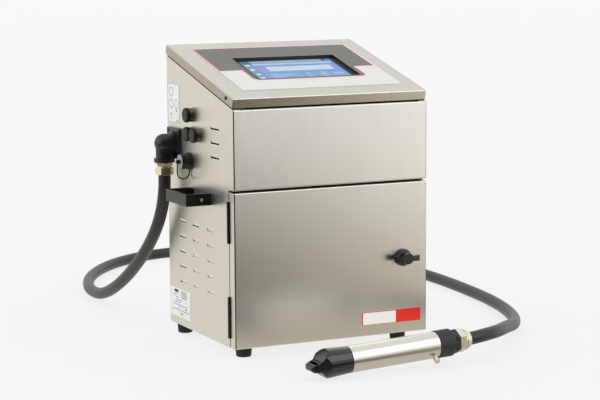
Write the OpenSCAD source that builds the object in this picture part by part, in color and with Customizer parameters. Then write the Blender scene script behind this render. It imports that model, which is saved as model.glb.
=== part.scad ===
// Date code inkjet printer: a stainless cabinet with a hinged door and a hinged sloping lid, its ink
// system and electronics, and a printhead on an umbilical hose.
// Millimetres. +X is right, +Y is to the back, +Z is up, and the door faces -Y.
// Each module is drawn about the centre of the cabinet's footprint on the floor, and row_frame()
// moves it to the middle of the whole object's footprint.

/* [Cabinet] */
// Width of the cabinet
cab_w = 350; // [340:1:365]
// Depth of the cabinet
cab_d = 275; // [268:1:285]
// Thickness of the stainless sheet
sheet = 1.5; // [1.2:0.1:2]
// Height of the rubber feet
foot_h = 17; // [14:1:22]
// Radius of a foot at its top
foot_r = 13.8; // [12:0.1:14]
// Place of the front feet along Y
foot_front = -111; // [-111:1:-95]
// Place of the back feet along Y
foot_back = 110; // [95:1:115]

/* [Door] */
// Height of the door's top edge
door_top = 269.5; // [266:0.5:272]
// Depth of the door's bent flanges
door_depth = 19; // [16:0.5:20]
// Gap above the door and along its hinge side
door_gap = 2.5; // [2:0.5:4]
// Sideways place of the latch knob from the cabinet's middle
knob_x = 130; // [122:1:134]
// Height of the latch knob
knob_z = 144; // [110:1:200]
// Length of each hinge
hinge_len = 66; // [50:1:70]
// Height of the lower end of each hinge
hinge_low = [33.5, 187.5]; // [30:0.5:190]

/* [Lid] */
// Height of the lid's top face at its front edge
lid_front_z = 420; // [414:1:426]
// Slope of the lid, in degrees
lid_slope = 14.7; // [12:0.1:17]
// Thickness of the lid, square to its face
lid_t = 16; // [14:0.5:18]
// Thickness of the foam gasket under the lid
lid_gasket_t = 2; // [2:0.5:4]
// Sideways place of the display and its overlay from the middle of the lid
display_x = 3; // [-5:1:5]
// Width of the display opening
display_w = 192; // [180:1:200]
// Length of the display opening up the slope
display_l = 112; // [104:1:116]
// Distance up the slope from the lid's front edge to the display opening
display_s = 87; // [84:1:92]

/* [Side fittings] */
// Place along Y and height of each capped socket
socket_at = [[33, 381], [4.5, 349.5], [33, 349.5]]; // [0:0.5:400]
// Place along Y and height of the round data connector
data_at = [39.5, 303.5]; // [0:0.5:400]
// Place along Y and height of the umbilical outlet
outlet_at = [103, 328.5]; // [90:0.5:340]
// Side of the umbilical outlet's square plate
outlet_plate_w = 52; // [48:1:56]
// Distance from the side panel to the centre of the outlet's upright barrel
outlet_reach = 21; // [20.5:0.5:26]
// How far the side bracket stands out
bracket_reach = 43; // [40:1:48]
// Places along Y of the outer faces of the bracket's two arms
bracket_y = [-44, 44]; // [-60:1:60]
// Height of the bracket's lower edge
bracket_z = 239.5; // [230:0.5:250]

/* [Printhead] */
// Radius of the printhead's stainless tube
tube_r = 21; // [20:0.5:22]
// Length of the tube
tube_l = 153.5; // [150:0.5:170]
// Radius of the nose at its widest ring
nose_r = 23.4; // [22.5:0.1:24]
// Length of the nose from the tube to its widest ring
nose_l = 37.5; // [34:0.5:42]
// Where the nose's widest ring stands on the floor
head_at = [-101.5, -314.5]; // [-330:0.5:0]
// Slope of the printhead up to its tail, in degrees
head_tilt = 3; // [2.5:0.1:3.5]

/* [Umbilical] */
// Radius of the umbilical hose
hose_r = 10.5; // [9.5:0.5:10.5]

/* [Hidden] */
$fn = 48;

// Cabinet
half_w = cab_w / 2;
half_d = cab_d / 2;
front_y = -half_d;
door_back = front_y + door_depth;
seam_y = door_back + door_gap;
upper_z = door_top + door_gap + 1;
shelf_z = upper_z - sheet;
inner_w = cab_w - 2 * sheet;
floor_in = foot_h + sheet;
lid_l = cab_d / cos(lid_slope);
body_front_z = lid_front_z - (lid_t + lid_gasket_t) / cos(lid_slope);
flange_w = 12;
frame_rim = 25;
opening_low = floor_in + 14;
opening_high = shelf_z - 14;
// Outer radius of the bends of the door, the front panel and the lid
bend_r = 2.3;
// Depth of the upper front panel's bent flanges
upper_depth = 3;
function body_top(y) = body_front_z + (y + half_d) * tan(lid_slope);

// Running and assembly clearances
run = 0.05;
gap = 0.3;

// Door hinge and latch
hinge_r = 2.75;
hinge_pin_r = 1.5;
hinge_x = -half_w - 1.1;
hinge_y = (door_back + seam_y) / 2;
knuckle = hinge_len / 3;
leaf_w = 9;
knob_r = 14.5;
knob_base = 9;
knob_wing = 44;
latch_r = 5;
cam_reach = half_w - frame_rim - knob_x - 1;
cam_depth = seam_y + sheet + 4 - front_y;
badge_at = [108.5, 46];
badge_size = [110, 21.5];

// Lid hinge, in the lid's own axes: up the slope, and square to it
lid_axis_y = half_d + 4.6;
lid_axis_z = body_top(half_d) - 1;
lid_axis_s = (lid_axis_y + half_d) * cos(lid_slope) + (lid_axis_z - lid_front_z) * sin(lid_slope);
lid_axis_n = -(lid_axis_y + half_d) * sin(lid_slope) + (lid_axis_z - lid_front_z) * cos(lid_slope);
lid_hinge_x = [-120, 120];
lid_hinge_len = 45;
lid_hinge_r = 3.2;
overlay_w = 292;
overlay_s = [34.5, 255];
bezel_depth = 4;
screen_margin = 9;
lid_screw_s = 27;
screw_proud = 1.5;

// How deep a louvre is pressed in, as a share of its height
louvre_in = 0.35;

// Side fittings
cap_r = 12.2;
cap_from = 6.3;
cap_to = 12.8;
spigot_r = 9.5;
data_flange = [15, 3.5];
data_cap_r = 12;
data_cap_end = 18.9;
outlet_plate_t = 5;
elbow_r = 16.4;
barrel_r = 14.2;
gland_low = 275.5;
gland_top = 296.5;
bracket_h = 20;
bracket_t = 4;

// Printhead, along its own axis from the joint of tube and nose
head_x = head_at[0] + nose_l * cos(head_tilt);
head_z = nose_r / cos(head_tilt) + nose_l * sin(head_tilt) + 0.2;
collar_l = 32;
head_hex_l = 7;
head_gland_l = 22;
head_end = tube_l + collar_l + head_hex_l + head_gland_l;
head_wall = 1.2;
screw_at = tube_l - 9.5;
screw_roll = 49;

// The hose, from the outlet's gland to the printhead's gland. It drops to the floor behind the outlet,
// lies in one wide turn behind the cabinet, and comes forward on the right.
hose_start = [-half_w - outlet_reach, outlet_at[0], gland_low];
hose_end = [head_x + head_end * cos(head_tilt), head_at[1], head_z + head_end * sin(head_tilt)];
hose_route = [
    [-196, 104, 254], [-196, 111, 229], [-196, 124, 204], [-196, 144, 178], [-196, 170, 153], [-196, 204,
        126],
    [-196, 246, 98], [-196, 294, 70], [-196, 348, 44], [-195, 400, 25], [-193, 450, 14], [-187, 508, 11],
    [-170, 570, 10.5], [-145, 630, 10.5], [-110, 688, 10.5], [-67, 742, 10.5], [-18, 786, 10.5],
    [38, 820, 10.5], [102, 838, 10.5], [172, 835, 10.5], [240, 812, 10.5], [305, 770, 10.5],
    [360, 712, 10.5], [402, 640, 10.5], [430, 560, 10.5], [446, 480, 10.5], [453, 400, 10.5],
    [453, 330, 10.5], [449.5, 255, 10.5], [442, 175, 10.5], [431.5, 95, 10.5], [416, 20, 10.5],
    [398.5, -38, 10.5], [377.5, -88, 11.7], [352, -133, 15.3], [319, -181, 21], [287, -218, 27.5],
    [257, -250, 32.5], [230, -277, 36], [204, -297, 38.3], [178, -309.5, 38.6]];
hose_points = concat([hose_start], hose_route, [hose_end]);
hose_sides = 12;

// The whole object's footprint without the hose
reach_left = half_w + bracket_reach;
reach_right = half_w + screw_proud;
reach_front = -head_at[1] + nose_r;
reach_back = lid_axis_y + lid_hinge_r;
row_dx = (reach_left - reach_right) / 2;
row_dy = (reach_front - reach_back) / 2;

// ---- frames of reference ----

module row_frame() translate([row_dx, row_dy, 0]) children();
// On the left side panel: +X is up, +Y is to the back, +Z is out of the panel
module on_left(y, z) translate([-half_w, y, z]) rotate([0, -90, 0]) children();
// On the door: +X is right, +Y is up, +Z is out of the door
module on_front(x, z) translate([x, front_y, z]) rotate([90, 0, 0]) children();
// On the back: +X is right, +Y is down, +Z is out of the panel
module on_rear(x, z) translate([x, half_d, z]) rotate([-90, 0, 0]) children();
// On the lid: +X is right, +Y is up the slope, +Z is out of the lid
module on_lid(s = 0) translate([0, front_y, lid_front_z]) rotate([lid_slope, 0, 0]) translate([0, s, 0])
    children();
// Along the printhead: +X is to the tail, with the origin where the nose meets the tube
module head_frame() translate([head_x, head_at[1], head_z]) rotate([0, -head_tilt, 0]) children();

// ---- shared shapes ----

module box(x, y, z) translate([x[0], y[0], z[0]]) cube([x[1] - x[0], y[1] - y[0], z[1] - z[0]]);
module along_x(from, to) translate([from, 0, 0]) rotate([0, 90, 0]) linear_extrude(to - from) children();
module rounded(w, h, r) {
    square([w - 2 * r, h], center = true);
    square([w, h - 2 * r], center = true);
    for (x = [-1, 1], y = [-1, 1]) translate([x * (w / 2 - r), y * (h / 2 - r)]) circle(r);
}
module plate(w, h, t, r) linear_extrude(t) rounded(w, h, r);
module ring(r_out, r_in, h) linear_extrude(h) difference() { circle(r_out); circle(r_in); }
module hexagon(across) circle(d = across / cos(30), $fn = 6);
// A hexagonal nut without its hole, its corners chamfered by turning
module nut(across, h) {
    r = across / 2 / cos(30);
    intersection() {
        linear_extrude(h) hexagon(across);
        rotate_extrude() polygon([[0, 0], [across / 2 - 0.3, 0], [r, 1.5], [r, h - 1.5],
            [across / 2 - 0.3, h], [0, h]]);
    }
}
module screw_head(r = 3, h = 1.6) rotate_extrude() polygon([[0, 0], [r, 0], [r, h * 0.5], [r * 0.6, h],
    [0, h]]);
// A louvre pressed into a panel: a flap that slopes in from its top edge, closed at its ends
module louvre_flap(w, h) {
    depth = h * louvre_in;
    low = -h / 2 - 0.4;
    rotate([90, 0, 0]) linear_extrude(w, center = true)
        polygon([[h / 2 + 0.5, 0], [h / 2 + 0.5, -sheet], [low, -depth - 0.8], [low, -depth], [h / 2, 0]]);
    for (side = [-1, 1]) translate([0, side * (w / 2 - 0.5), 0]) rotate([90, 0, 0])
        linear_extrude(1, center = true) polygon([[h / 2 + 0.2, 0], [low, -depth - 0.4], [low, 0]]);
}
// The slot that it is pressed from, with a rolled lower lip
module louvre_slot(w, h) {
    cube([h, w - 0.4, 4 * sheet], center = true);
    rotate([90, 0, 0]) linear_extrude(w - 0.4, center = true)
        polygon([[0, 1], [0, -1], [-h / 2, -1], [-h / 2 - 0.9, -0.1], [-h / 2 - 1, 0], [-h / 2 - 1, 1]]);
}
// Each louvre's height and place along Y on the panel, its width and its height
louvres = concat(
    [for (y = [-41, 19, 77], row = [0 : 4]) [95.5 + 25.8 * row, y, 28, 6]],
    [for (row = [0 : 2]) [320.8 + 23.4 * row, -64.5, 36, 7]]);

// ---- cabinet ----

module base_pan() color("silver") row_frame() difference() {
    union() {
        box([-half_w + sheet, half_w - sheet], [seam_y, half_d - sheet], [foot_h, floor_in]);
        box([-half_w + sheet, half_w - sheet], [half_d - 2 * sheet, half_d - sheet], [floor_in,
            floor_in + 10]);
    }
    each_foot() cylinder(r = 2.3, h = 3 * foot_h, center = true);
}

module side_sheet() translate([0, 0, -sheet]) linear_extrude(sheet) polygon([
    [foot_h, seam_y], [foot_h, half_d], [body_top(half_d), half_d], [body_top(front_y + upper_depth),
        front_y + upper_depth],
    [upper_z, front_y + upper_depth], [upper_z, seam_y]]);
// The inward flange along the panel's sloping top edge, which carries the lid's gasket
module side_flange() translate([0, 0, -sheet - flange_w]) linear_extrude(flange_w) polygon([
    [body_top(front_y + upper_depth), front_y + upper_depth], [body_top(half_d - sheet), half_d - sheet],
    [body_top(half_d - sheet) - sheet, half_d - sheet], [body_top(front_y + upper_depth)
        - sheet, front_y + upper_depth]]);
module vented_side() {
    difference() {
        union() {
            side_sheet();
            side_flange();
        }
        for (l = louvres) translate([l[0], l[1], 0]) louvre_slot(l[2], l[3]);
    }
    for (l = louvres) translate([l[0], l[1], 0]) louvre_flap(l[2], l[3]);
}
module left_side_panel() color("silver") row_frame() difference() {
    bored_side();
    hinge_room();
}
module bored_side() on_left(0, 0) difference() {
    vented_side();
    for (p = socket_at) translate([p[1], p[0], -5]) cylinder(r = 8.2, h = 10);
    translate([data_at[1], data_at[0], -5]) cylinder(r = 10.2, h = 10);
    translate([outlet_at[1], outlet_at[0], -5]) cylinder(r = 15.2, h = 10);
    for (y = bracket_y) translate([bracket_z + bracket_h / 2, y - sign(y) * bracket_t / 2, -5])
        cylinder(r = 1.6, h = 10);
}
module right_side_panel() color("silver") row_frame() mirror([1, 0, 0]) on_left(0, 0) vented_side();

fan_at = [-75, 395];
fan_w = 80;
inlet_at = [95, 330];
rocker_at = [130, 330];
module rear_panel() color("silver") row_frame() difference() {
    union() {
        box([-half_w + sheet, half_w - sheet], [half_d - sheet, half_d], [foot_h, body_top(half_d) - 0.5]);
        box([-half_w + sheet + flange_w, half_w - sheet - flange_w], [half_d - flange_w, half_d - sheet],
            [body_top(half_d - flange_w) - 2 * sheet, body_top(half_d - flange_w) - sheet]);
    }
    on_rear(fan_at[0], fan_at[1]) cylinder(r = 38, h = 12, center = true);
    for (x = [-32, 32], y = [-32, 32]) on_rear(fan_at[0] + x, fan_at[1] + y)
        cylinder(r = 2, h = 12, center = true);
    on_rear(inlet_at[0], inlet_at[1]) cube([27.6, 20.6, 12], center = true);
    on_rear(rocker_at[0], rocker_at[1]) cube([22, 27.6, 12], center = true);
}

module upper_front_panel() color("silver") row_frame() {
    difference() {
        folded(upper_depth, upper_z, body_front_z);
        box([-half_w + sheet, half_w - sheet], [front_y + sheet, front_y + 5], [upper_z - 1,
            body_front_z + 1]);
    }
    box([-half_w + sheet, half_w - sheet], [front_y + sheet, seam_y + 4], [upper_z, upper_z + sheet]);
    box([-half_w + sheet + flange_w, half_w - sheet - flange_w], [front_y + sheet, front_y + flange_w],
        [body_front_z - sheet, body_front_z]);
}
// A sheet's plan with its two front corners rounded by the bend
module bent_plan(w, d, r) {
    translate([-w / 2 + r, 0]) square([w - 2 * r, d]);
    translate([-w / 2, r]) square([w, d - r]);
    for (x = [-1, 1]) translate([x * (w / 2 - r), r]) intersection() {
        circle(r, $fn = 32);
        translate([0, -r / 2]) square([2 * r, r], center = true);
    }
}
// A block as wide as the cabinet, behind its front plane, with every edge of its front rounded by the bend
module folded(d, low, high) intersection() {
    translate([0, front_y, low]) linear_extrude(high - low) bent_plan(cab_w, d, bend_r);
    translate([-half_w, front_y, (low + high) / 2]) rotate([90, 0, 90]) linear_extrude(cab_w)
        rotate(90) mirror([0, 1]) bent_plan(high - low, d, bend_r);
}
// A profile below the X axis with its two upper corners rounded
module crowned(from, to, h) hull() {
    translate([from, -h]) square([to - from, h - bend_r]);
    for (x = [from + bend_r, to - bend_r]) translate([x, -bend_r]) circle(bend_r, $fn = 32);
}

module front_frame() color("gainsboro") row_frame() {
    difference() {
        box([-half_w + sheet, half_w - sheet], [seam_y, seam_y + sheet], [floor_in, shelf_z]);
        box([-half_w + frame_rim, half_w - frame_rim], [seam_y - 1, seam_y + 3], [opening_low,
            opening_high]);
    }
    difference() {
        box([-half_w + frame_rim - sheet, half_w - frame_rim + sheet], [seam_y + sheet, seam_y + 14],
            [opening_low - sheet, opening_high + sheet]);
        box([-half_w + frame_rim, half_w - frame_rim], [seam_y, seam_y + 20], [opening_low, opening_high]);
    }
}

tube_hole_at = [-138, 103];
module compartment_shelf() color("gainsboro") row_frame() difference() {
    box([-half_w + sheet, half_w - sheet], [seam_y, half_d - sheet], [shelf_z, upper_z]);
    translate([tube_hole_at[0], tube_hole_at[1], shelf_z]) cube([36, 24, 20], center = true);
}

module each_foot() for (at = [[-149, foot_front], [134, foot_front], [-159, foot_back], [134, foot_back]])
    translate([at[0], at[1], 0]) children();
module rubber_feet() color("#1b1b1b") row_frame() each_foot() rotate_extrude() polygon([
    [2.3, 6], [5.5, 6], [5.5, 0], [11.2, 0], [12.3, 1.2], [foot_r, foot_h], [2.3, foot_h]]);
module foot_screws() color("silver") row_frame() each_foot() {
    translate([0, 0, 3]) cylinder(r = 4.5, h = 3);
    translate([0, 0, 6]) cylinder(r = 2, h = foot_h - 6 + sheet + 6);
}

// ---- door ----

// The ring on the front frame that the door's edge meets, and the strip over the door
module door_gasket() color("#2a2a2a") row_frame() {
    difference() {
        box([-half_w + 6, half_w - 6], [seam_y - 4, seam_y], [foot_h + 5, shelf_z - 4]);
        box([-half_w + 16, half_w - 16], [seam_y - 9, seam_y + 1], [foot_h + 14, shelf_z - 13]);
    }
    box([-half_w + 4, half_w - 4], [front_y + 6, seam_y], [door_top + 0.8, upper_z]);
}

module door_panel() color("silver") row_frame() difference() {
    folded(door_depth, foot_h, door_top);
    box([-half_w + sheet, half_w - sheet], [front_y + sheet, door_back + 1], [foot_h + sheet,
        door_top - sheet]);
    hinge_room();
    on_front(knob_x, knob_z) cylinder(r = latch_r + run, h = 20, center = true);
}
module badge_plate() color("#e8e8e8") row_frame() on_front(badge_at[0], badge_at[1])
    plate(badge_size[0], badge_size[1], 0.8, 2.5);

// Half of a hinge: its knuckles round the pin, and its leaf inside, reached by webs. The cabinet's leaf
// (side = 1) lies on the front frame, and the door's (side = -1) on the inner face of the door's flange.
module hinge_leaf(side, low, knuckles) {
    for (z = low) {
        if (side > 0) box([-half_w + 2.4, -half_w + 5.7], [seam_y - 1.2, seam_y], [z, z + hinge_len]);
        else box([-half_w + sheet, -half_w + 2.8], [door_back - leaf_w, door_back - 0.6],
            [z, z + hinge_len]);
        for (k = knuckles) difference() {
            translate([0, 0, z + k[0]]) union() {
                translate([hinge_x, hinge_y, 0]) cylinder(r = hinge_r, h = k[1] - k[0]);
                box([hinge_x, -half_w + 2.8], side > 0 ? [seam_y - 1.2, seam_y]
                    : [door_back - 0.6, door_back + 1.15], [0, k[1] - k[0]]);
            }
            translate([hinge_x, hinge_y, z - 1]) cylinder(r = hinge_pin_r + run, h = hinge_len + 2);
        }
    }
}
// The room for the barrels in the edges of the side panel and of the door's flange
module hinge_room() for (z = hinge_low) translate([hinge_x, hinge_y, z - 1.4])
    cylinder(r = hinge_r + 0.4, h = hinge_len + 2.8);
module door_hinge_leaves() color("#1d1d1d") row_frame()
    hinge_leaf(-1, hinge_low, [[knuckle + 0.2, 2 * knuckle - 0.2]]);
module cabinet_hinge_leaves() color("#1d1d1d") row_frame()
    hinge_leaf(1, hinge_low, [[0, knuckle], [2 * knuckle, hinge_len]]);
module hinge_pins() color("#303030") row_frame() for (z = hinge_low) translate([hinge_x, hinge_y, z]) {
    translate([0, 0, -0.8]) cylinder(r = 2.4, h = 0.8);
    cylinder(r = hinge_pin_r, h = hinge_len);
    translate([0, 0, hinge_len]) cylinder(r = 2.4, h = 0.8);
}

module latch_knob() color("#191919") row_frame() on_front(knob_x, knob_z) {
    translate([0, 0, gap]) rotate_extrude() polygon([[0, 0], [knob_r, 0], [knob_r, 3], [knob_r - 1.5, 6],
        [knob_r - 4.5, knob_base], [0, knob_base]]);
    translate([0, 0, knob_base]) intersection() {
        linear_extrude(12) {
            polygon([[-knob_wing / 2, -5], [-9, -4.2], [9, -4.2], [knob_wing / 2, -5], [knob_wing / 2, 5],
                [9, 4.2], [-9, 4.2], [-knob_wing / 2, 5]]);
            circle(9);
        }
        rotate([90, 0, 0]) linear_extrude(40, center = true) polygon([[-knob_wing / 2, 2], [-11, -gap],
            [11, -gap], [knob_wing / 2, 2], [knob_wing / 2, 9.5], [10, 12], [-10, 12],
            [-knob_wing / 2, 9.5]]);
    }
    translate([0, 0, -cam_depth - 1]) cylinder(r = latch_r, h = cam_depth + 1 + gap);
}
module latch_cam() color("#8a8a8a") row_frame() on_front(knob_x, knob_z) translate([0, 0, -cam_depth])
    linear_extrude(3) difference() {
        union() {
            circle(9);
            intersection() {
                circle(cam_reach);
                translate([0, -7]) square([cam_reach, 14]);
            }
        }
        circle(latch_r);
    }

// ---- lid ----

module lid_panel() color("silver") row_frame() on_lid() difference() {
    intersection() {
        translate([0, 0, -lid_t]) linear_extrude(lid_t) bent_plan(cab_w, lid_l, bend_r);
        translate([0, lid_l, 0]) rotate([90, 0, 0]) linear_extrude(lid_l) crowned(-half_w, half_w, lid_t);
        translate([-half_w, 0, 0]) rotate([90, 0, 90]) linear_extrude(cab_w) crowned(0, lid_l, lid_t);
    }
    box([-half_w + sheet, half_w - sheet], [sheet, lid_l - sheet], [-lid_t - 1, -sheet]);
    translate([display_x, display_s + display_l / 2, 0]) cube([display_w, display_l, 10], center = true);
    for (x = [-1, 1]) translate([x * half_w, lid_screw_s, -lid_t / 2]) rotate([0, 90, 0])
        cylinder(r = 2, h = 10, center = true);
}
module lid_gasket() color("#161616") row_frame() on_lid() difference() {
    box([-half_w + 1, half_w - 1], [2, lid_l - 6], [-lid_t - lid_gasket_t + 0.06, -lid_t - 0.1]);
    box([-half_w + 10, half_w - 10], [11, lid_l - 15], [-lid_t - 10, -lid_t + 1]);
}
module keypad_overlay() color("white") row_frame() on_lid() difference() {
    translate([display_x, (overlay_s[0] + overlay_s[1]) / 2, 0])
        plate(overlay_w, overlay_s[1] - overlay_s[0], 0.5, 4);
    translate([display_x, display_s + display_l / 2, 0]) cube([display_w, display_l, 10], center = true);
}
module display_bezel() color("#202225") row_frame() on_lid(display_s)
    translate([display_x - display_w / 2, 0, 0]) difference() {
    box([0, display_w], [0, display_l], [-bezel_depth - 1.5, 0.5]);
    box([2, display_w - 2], [2, display_l - 2], [-bezel_depth, 1]);
    box([11, display_w - 9], [screen_margin, display_l - 5], [-bezel_depth - 3, 0]);
}
module display_screen() color("#3f7fd0") row_frame() on_lid(display_s)
    translate([display_x - display_w / 2, 0, 0])
    box([7, display_w - 5], [5, display_l - 2.5], [-bezel_depth - 7, -bezel_depth - 1.5]);
module display_board() color("#1f6b3a") row_frame() on_lid(display_s)
    translate([display_x - display_w / 2, 0, 0]) {
    box([4, display_w - 4], [3, display_l - 2.5], [-bezel_depth - 8.6, -bezel_depth - 7]);
    for (x = [30, 110]) box([x, x + 34], [70, 84], [-bezel_depth - 13, -bezel_depth - 8.6]);
    box([70, 100], [20, 46], [-bezel_depth - 11, -bezel_depth - 8.6]);
}
module lid_screws() color("#9a9a9a") row_frame() on_lid() for (x = [-1, 1])
    translate([x * half_w, lid_screw_s, -lid_t / 2]) rotate([0, x * 90, 0]) {
        translate([0, 0, -8]) cylinder(r = 2, h = 8);
        screw_head(3.2, screw_proud);
    }

module lid_hinge_barrel(x0, x1) translate([x0, 0, 0]) rotate([0, 90, 0])
    ring(lid_hinge_r, hinge_pin_r + run, x1 - x0);
module lid_hinge_leaves() color("#8d8d8d") row_frame() on_lid() for (x = lid_hinge_x) difference() {
    union() {
        translate([0, lid_axis_s, lid_axis_n]) lid_hinge_barrel(x - 15, x + 15);
        box([x - 15, x + 15], [lid_l, lid_l + 1.5], [lid_axis_n, -2]);
    }
    translate([x, lid_axis_s, lid_axis_n]) rotate([0, 90, 0])
        cylinder(r = hinge_pin_r + run, h = 80, center = true);
}
module rear_hinge_leaves() color("#8d8d8d") row_frame() for (x = lid_hinge_x) {
    for (side = [-1, 1]) difference() {
        union() {
            translate([0, lid_axis_y, lid_axis_z]) lid_hinge_barrel(x + side * 19 - 3.7,
                x + side * 19 + 3.7);
            box([x + side * 19 - 3.7, x + side * 19 + 3.7], [half_d, half_d + 1.5], [lid_axis_z - 22,
                lid_axis_z]);
            box([x + side * 19 - 3.7, x + side * 19 + 3.7], [half_d, lid_axis_y], [lid_axis_z - lid_hinge_r,
                lid_axis_z - hinge_pin_r - 0.4]);
        }
        translate([x, lid_axis_y, lid_axis_z]) rotate([0, 90, 0])
            cylinder(r = hinge_pin_r + run, h = 80, center = true);
    }
    box([x - 15.3, x + 15.3], [half_d, half_d + 1.2], [lid_axis_z - 22, lid_axis_z - 6]);
    translate([x - 23.5, lid_axis_y, lid_axis_z]) rotate([0, 90, 0]) cylinder(r = hinge_pin_r, h = 47);
}

// ---- labels: bare plates with generic marks left to the finish ----

module legend_label() color("#d8dadb") row_frame() on_left(108, 395) plate(67, 50, 0.4, 4);
module rating_plate() color("#eceded") row_frame() on_left(91, 55) plate(49, 87, 0.4, 2);

// ---- side fittings ----

module outlet_plate() color("#1a1a1a") row_frame() on_left(outlet_at[0], outlet_at[1]) difference() {
    union() {
        plate(outlet_plate_w, outlet_plate_w, outlet_plate_t, 5);
        translate([0, 0, -14]) cylinder(r = 15, h = 14);
    }
    translate([0, 0, -20]) cylinder(r = 9, h = 40);
    for (u = [-20, 20], v = [-20, 20]) translate([u, v, -1]) cylinder(r = 1.6, h = 10);
}
module outlet_elbow() color("#1a1a1a") row_frame() on_left(outlet_at[0], outlet_at[1]) difference() {
    union() {
        translate([0, 0, outlet_plate_t]) cylinder(r = 19.5, h = 3.5);
        translate([0, 0, outlet_plate_t]) cylinder(r = 15.5, h = outlet_reach - outlet_plate_t);
        translate([0, 0, outlet_reach]) sphere(r = elbow_r);
        hull() for (in = [0, 7]) translate([-outlet_at[1] + gland_top + 7, 0, outlet_reach - in])
            rotate([0, 90, 0]) cylinder(r = barrel_r, h = outlet_at[1] - gland_top - 7);
        translate([-outlet_at[1] + gland_top, 0, outlet_reach]) rotate([0, 90, 0]) cylinder(r = 17.5, h = 7);
    }
    translate([0, 0, -1]) cylinder(r = 9, h = outlet_reach + 1);
    translate([0, 0, outlet_reach]) sphere(r = 9);
    translate([-outlet_at[1] + gland_top - 1, 0, outlet_reach]) rotate([0, 90, 0])
        cylinder(r = 9, h = outlet_at[1] - gland_top + 1);
    translate([0, 0, outlet_plate_t - 20]) cube([80, 60, 40], center = true);
}
module outlet_gland() color("#b79a6a") row_frame() translate([hose_start[0], hose_start[1], gland_low])
    difference() {
    union() {
        rotate(-11.5) nut(28, 13);
        translate([0, 0, 13]) cylinder(r = 11.8, h = 2);
        translate([0, 0, 15]) rotate(17) nut(26.5, gland_top - gland_low - 15);
    }
    translate([0, 0, -1]) cylinder(r = 9, h = 40);
}

module port_sockets() color("#8a7355") row_frame() for (p = socket_at) on_left(p[0], p[1]) difference() {
    union() {
        translate([0, 0, -12]) cylinder(r = 8, h = 12);
        cylinder(r = 11.5, h = 1.8);
        translate([0, 0, 1.8]) cylinder(r = 10.6, h = 1.2);
        translate([0, 0, 3]) cylinder(r = 11.5, h = 3);
        translate([0, 0, 6]) cylinder(r = spigot_r, h = 4.5);
    }
    translate([0, 0, 2]) cylinder(r = 6.5, h = 12);
}
module port_cap(p) color("#222222") row_frame() on_left(p[0], p[1]) rotate_extrude() polygon([
    [spigot_r + 0.4, cap_from], [cap_r, cap_from], [cap_r, cap_to - 2.2], [cap_r - 0.8, cap_to - 0.9],
    [cap_r - 2.5, cap_to - 0.2], [cap_r - 5, cap_to], [0, cap_to], [0, cap_to - 2], [spigot_r + 0.4,
        cap_to - 2]]);
module port_cap_upper() port_cap(socket_at[0]);
module port_cap_front() port_cap(socket_at[1]);
module port_cap_back() port_cap(socket_at[2]);

module data_port() color("#1c1c1c") row_frame() on_left(data_at[0], data_at[1]) difference() {
    union() {
        translate([0, 0, -14]) cylinder(r = 10, h = 14);
        cylinder(r = data_flange[0], h = data_flange[1]);
        translate([0, 0, data_flange[1]]) cylinder(r = 9.6, h = 8);
    }
    translate([0, 0, data_flange[1] + 1]) cylinder(r = 7.5, h = 8);
}
module data_cap() color("#262626") row_frame() on_left(data_at[0], data_at[1]) {
    difference() {
        union() {
            translate([0, 0, data_flange[1] + gap]) cylinder(r = data_cap_r,
                h = data_cap_end - data_flange[1] - gap);
            for (a = [0 : 20 : 340]) rotate(a) translate([data_cap_r, 0, data_flange[1] + 3])
                cylinder(r = 0.6, h = data_cap_end - data_flange[1] - 5, $fn = 16);
        }
        translate([0, 0, 0]) cylinder(r = 10, h = data_flange[1] + 9);
    }
    translate([0, 0, data_cap_end]) linear_extrude(3) rounded(6, 10, 1.5);
    translate([0, 0, data_cap_end + 3]) cylinder(r = 2, h = 2.7);
    translate([0, 0, data_cap_end + 5.7]) cylinder(r = 2.8, h = 0.9);
}
// The lanyard: an eye round the cap's stud, and a wire loop down to the connector's flange
lanyard_r = 1.1;
lanyard_from = data_cap_end + 4.35;
lanyard_to = 2;
lanyard_drop = 18.5;
module cap_tether() color("#141414") row_frame() on_left(data_at[0], data_at[1]) {
    bend_r = (lanyard_from - lanyard_to) / 2;
    translate([0, 0, lanyard_from - 0.6]) ring(3.6, 2.3, 1.2);
    translate([-lanyard_drop, 0, lanyard_from]) rotate([0, 90, 0])
        cylinder(r = lanyard_r, h = lanyard_drop - 3);
    translate([-lanyard_drop, 0, lanyard_to]) rotate([0, 90, 0])
        cylinder(r = lanyard_r, h = lanyard_drop - data_flange[0]);
    translate([-lanyard_drop, 0, (lanyard_from + lanyard_to) / 2]) rotate([90, 0, 0])
        rotate([0, 0, 90]) rotate_extrude(angle = 180) translate([bend_r, 0])
            circle(r = lanyard_r, $fn = 24);
}

// A square strap, and the angle inside each of its arms that holds it to the panel
module side_bracket() color("#232323") row_frame() {
    difference() {
        box([-half_w - bracket_reach, -half_w], bracket_y, [bracket_z, bracket_z + bracket_h]);
        box([-half_w - bracket_reach + bracket_t, -half_w + 1], [bracket_y[0] + bracket_t,
            bracket_y[1] - bracket_t],
            [bracket_z - 1, bracket_z + bracket_h + 1]);
    }
    for (side = [0, 1]) {
        inner = bracket_y[side] + (side == 0 ? bracket_t : -bracket_t);
        turn = side == 0 ? 1 : -1;
        translate([0, inner, 0]) scale([1, turn, 1]) {
            box([-half_w - 24, -half_w], [0, 2], [bracket_z, bracket_z + bracket_h]);
            box([-half_w - 2, -half_w], [0, 14], [bracket_z, bracket_z + bracket_h]);
        }
    }
}
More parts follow.
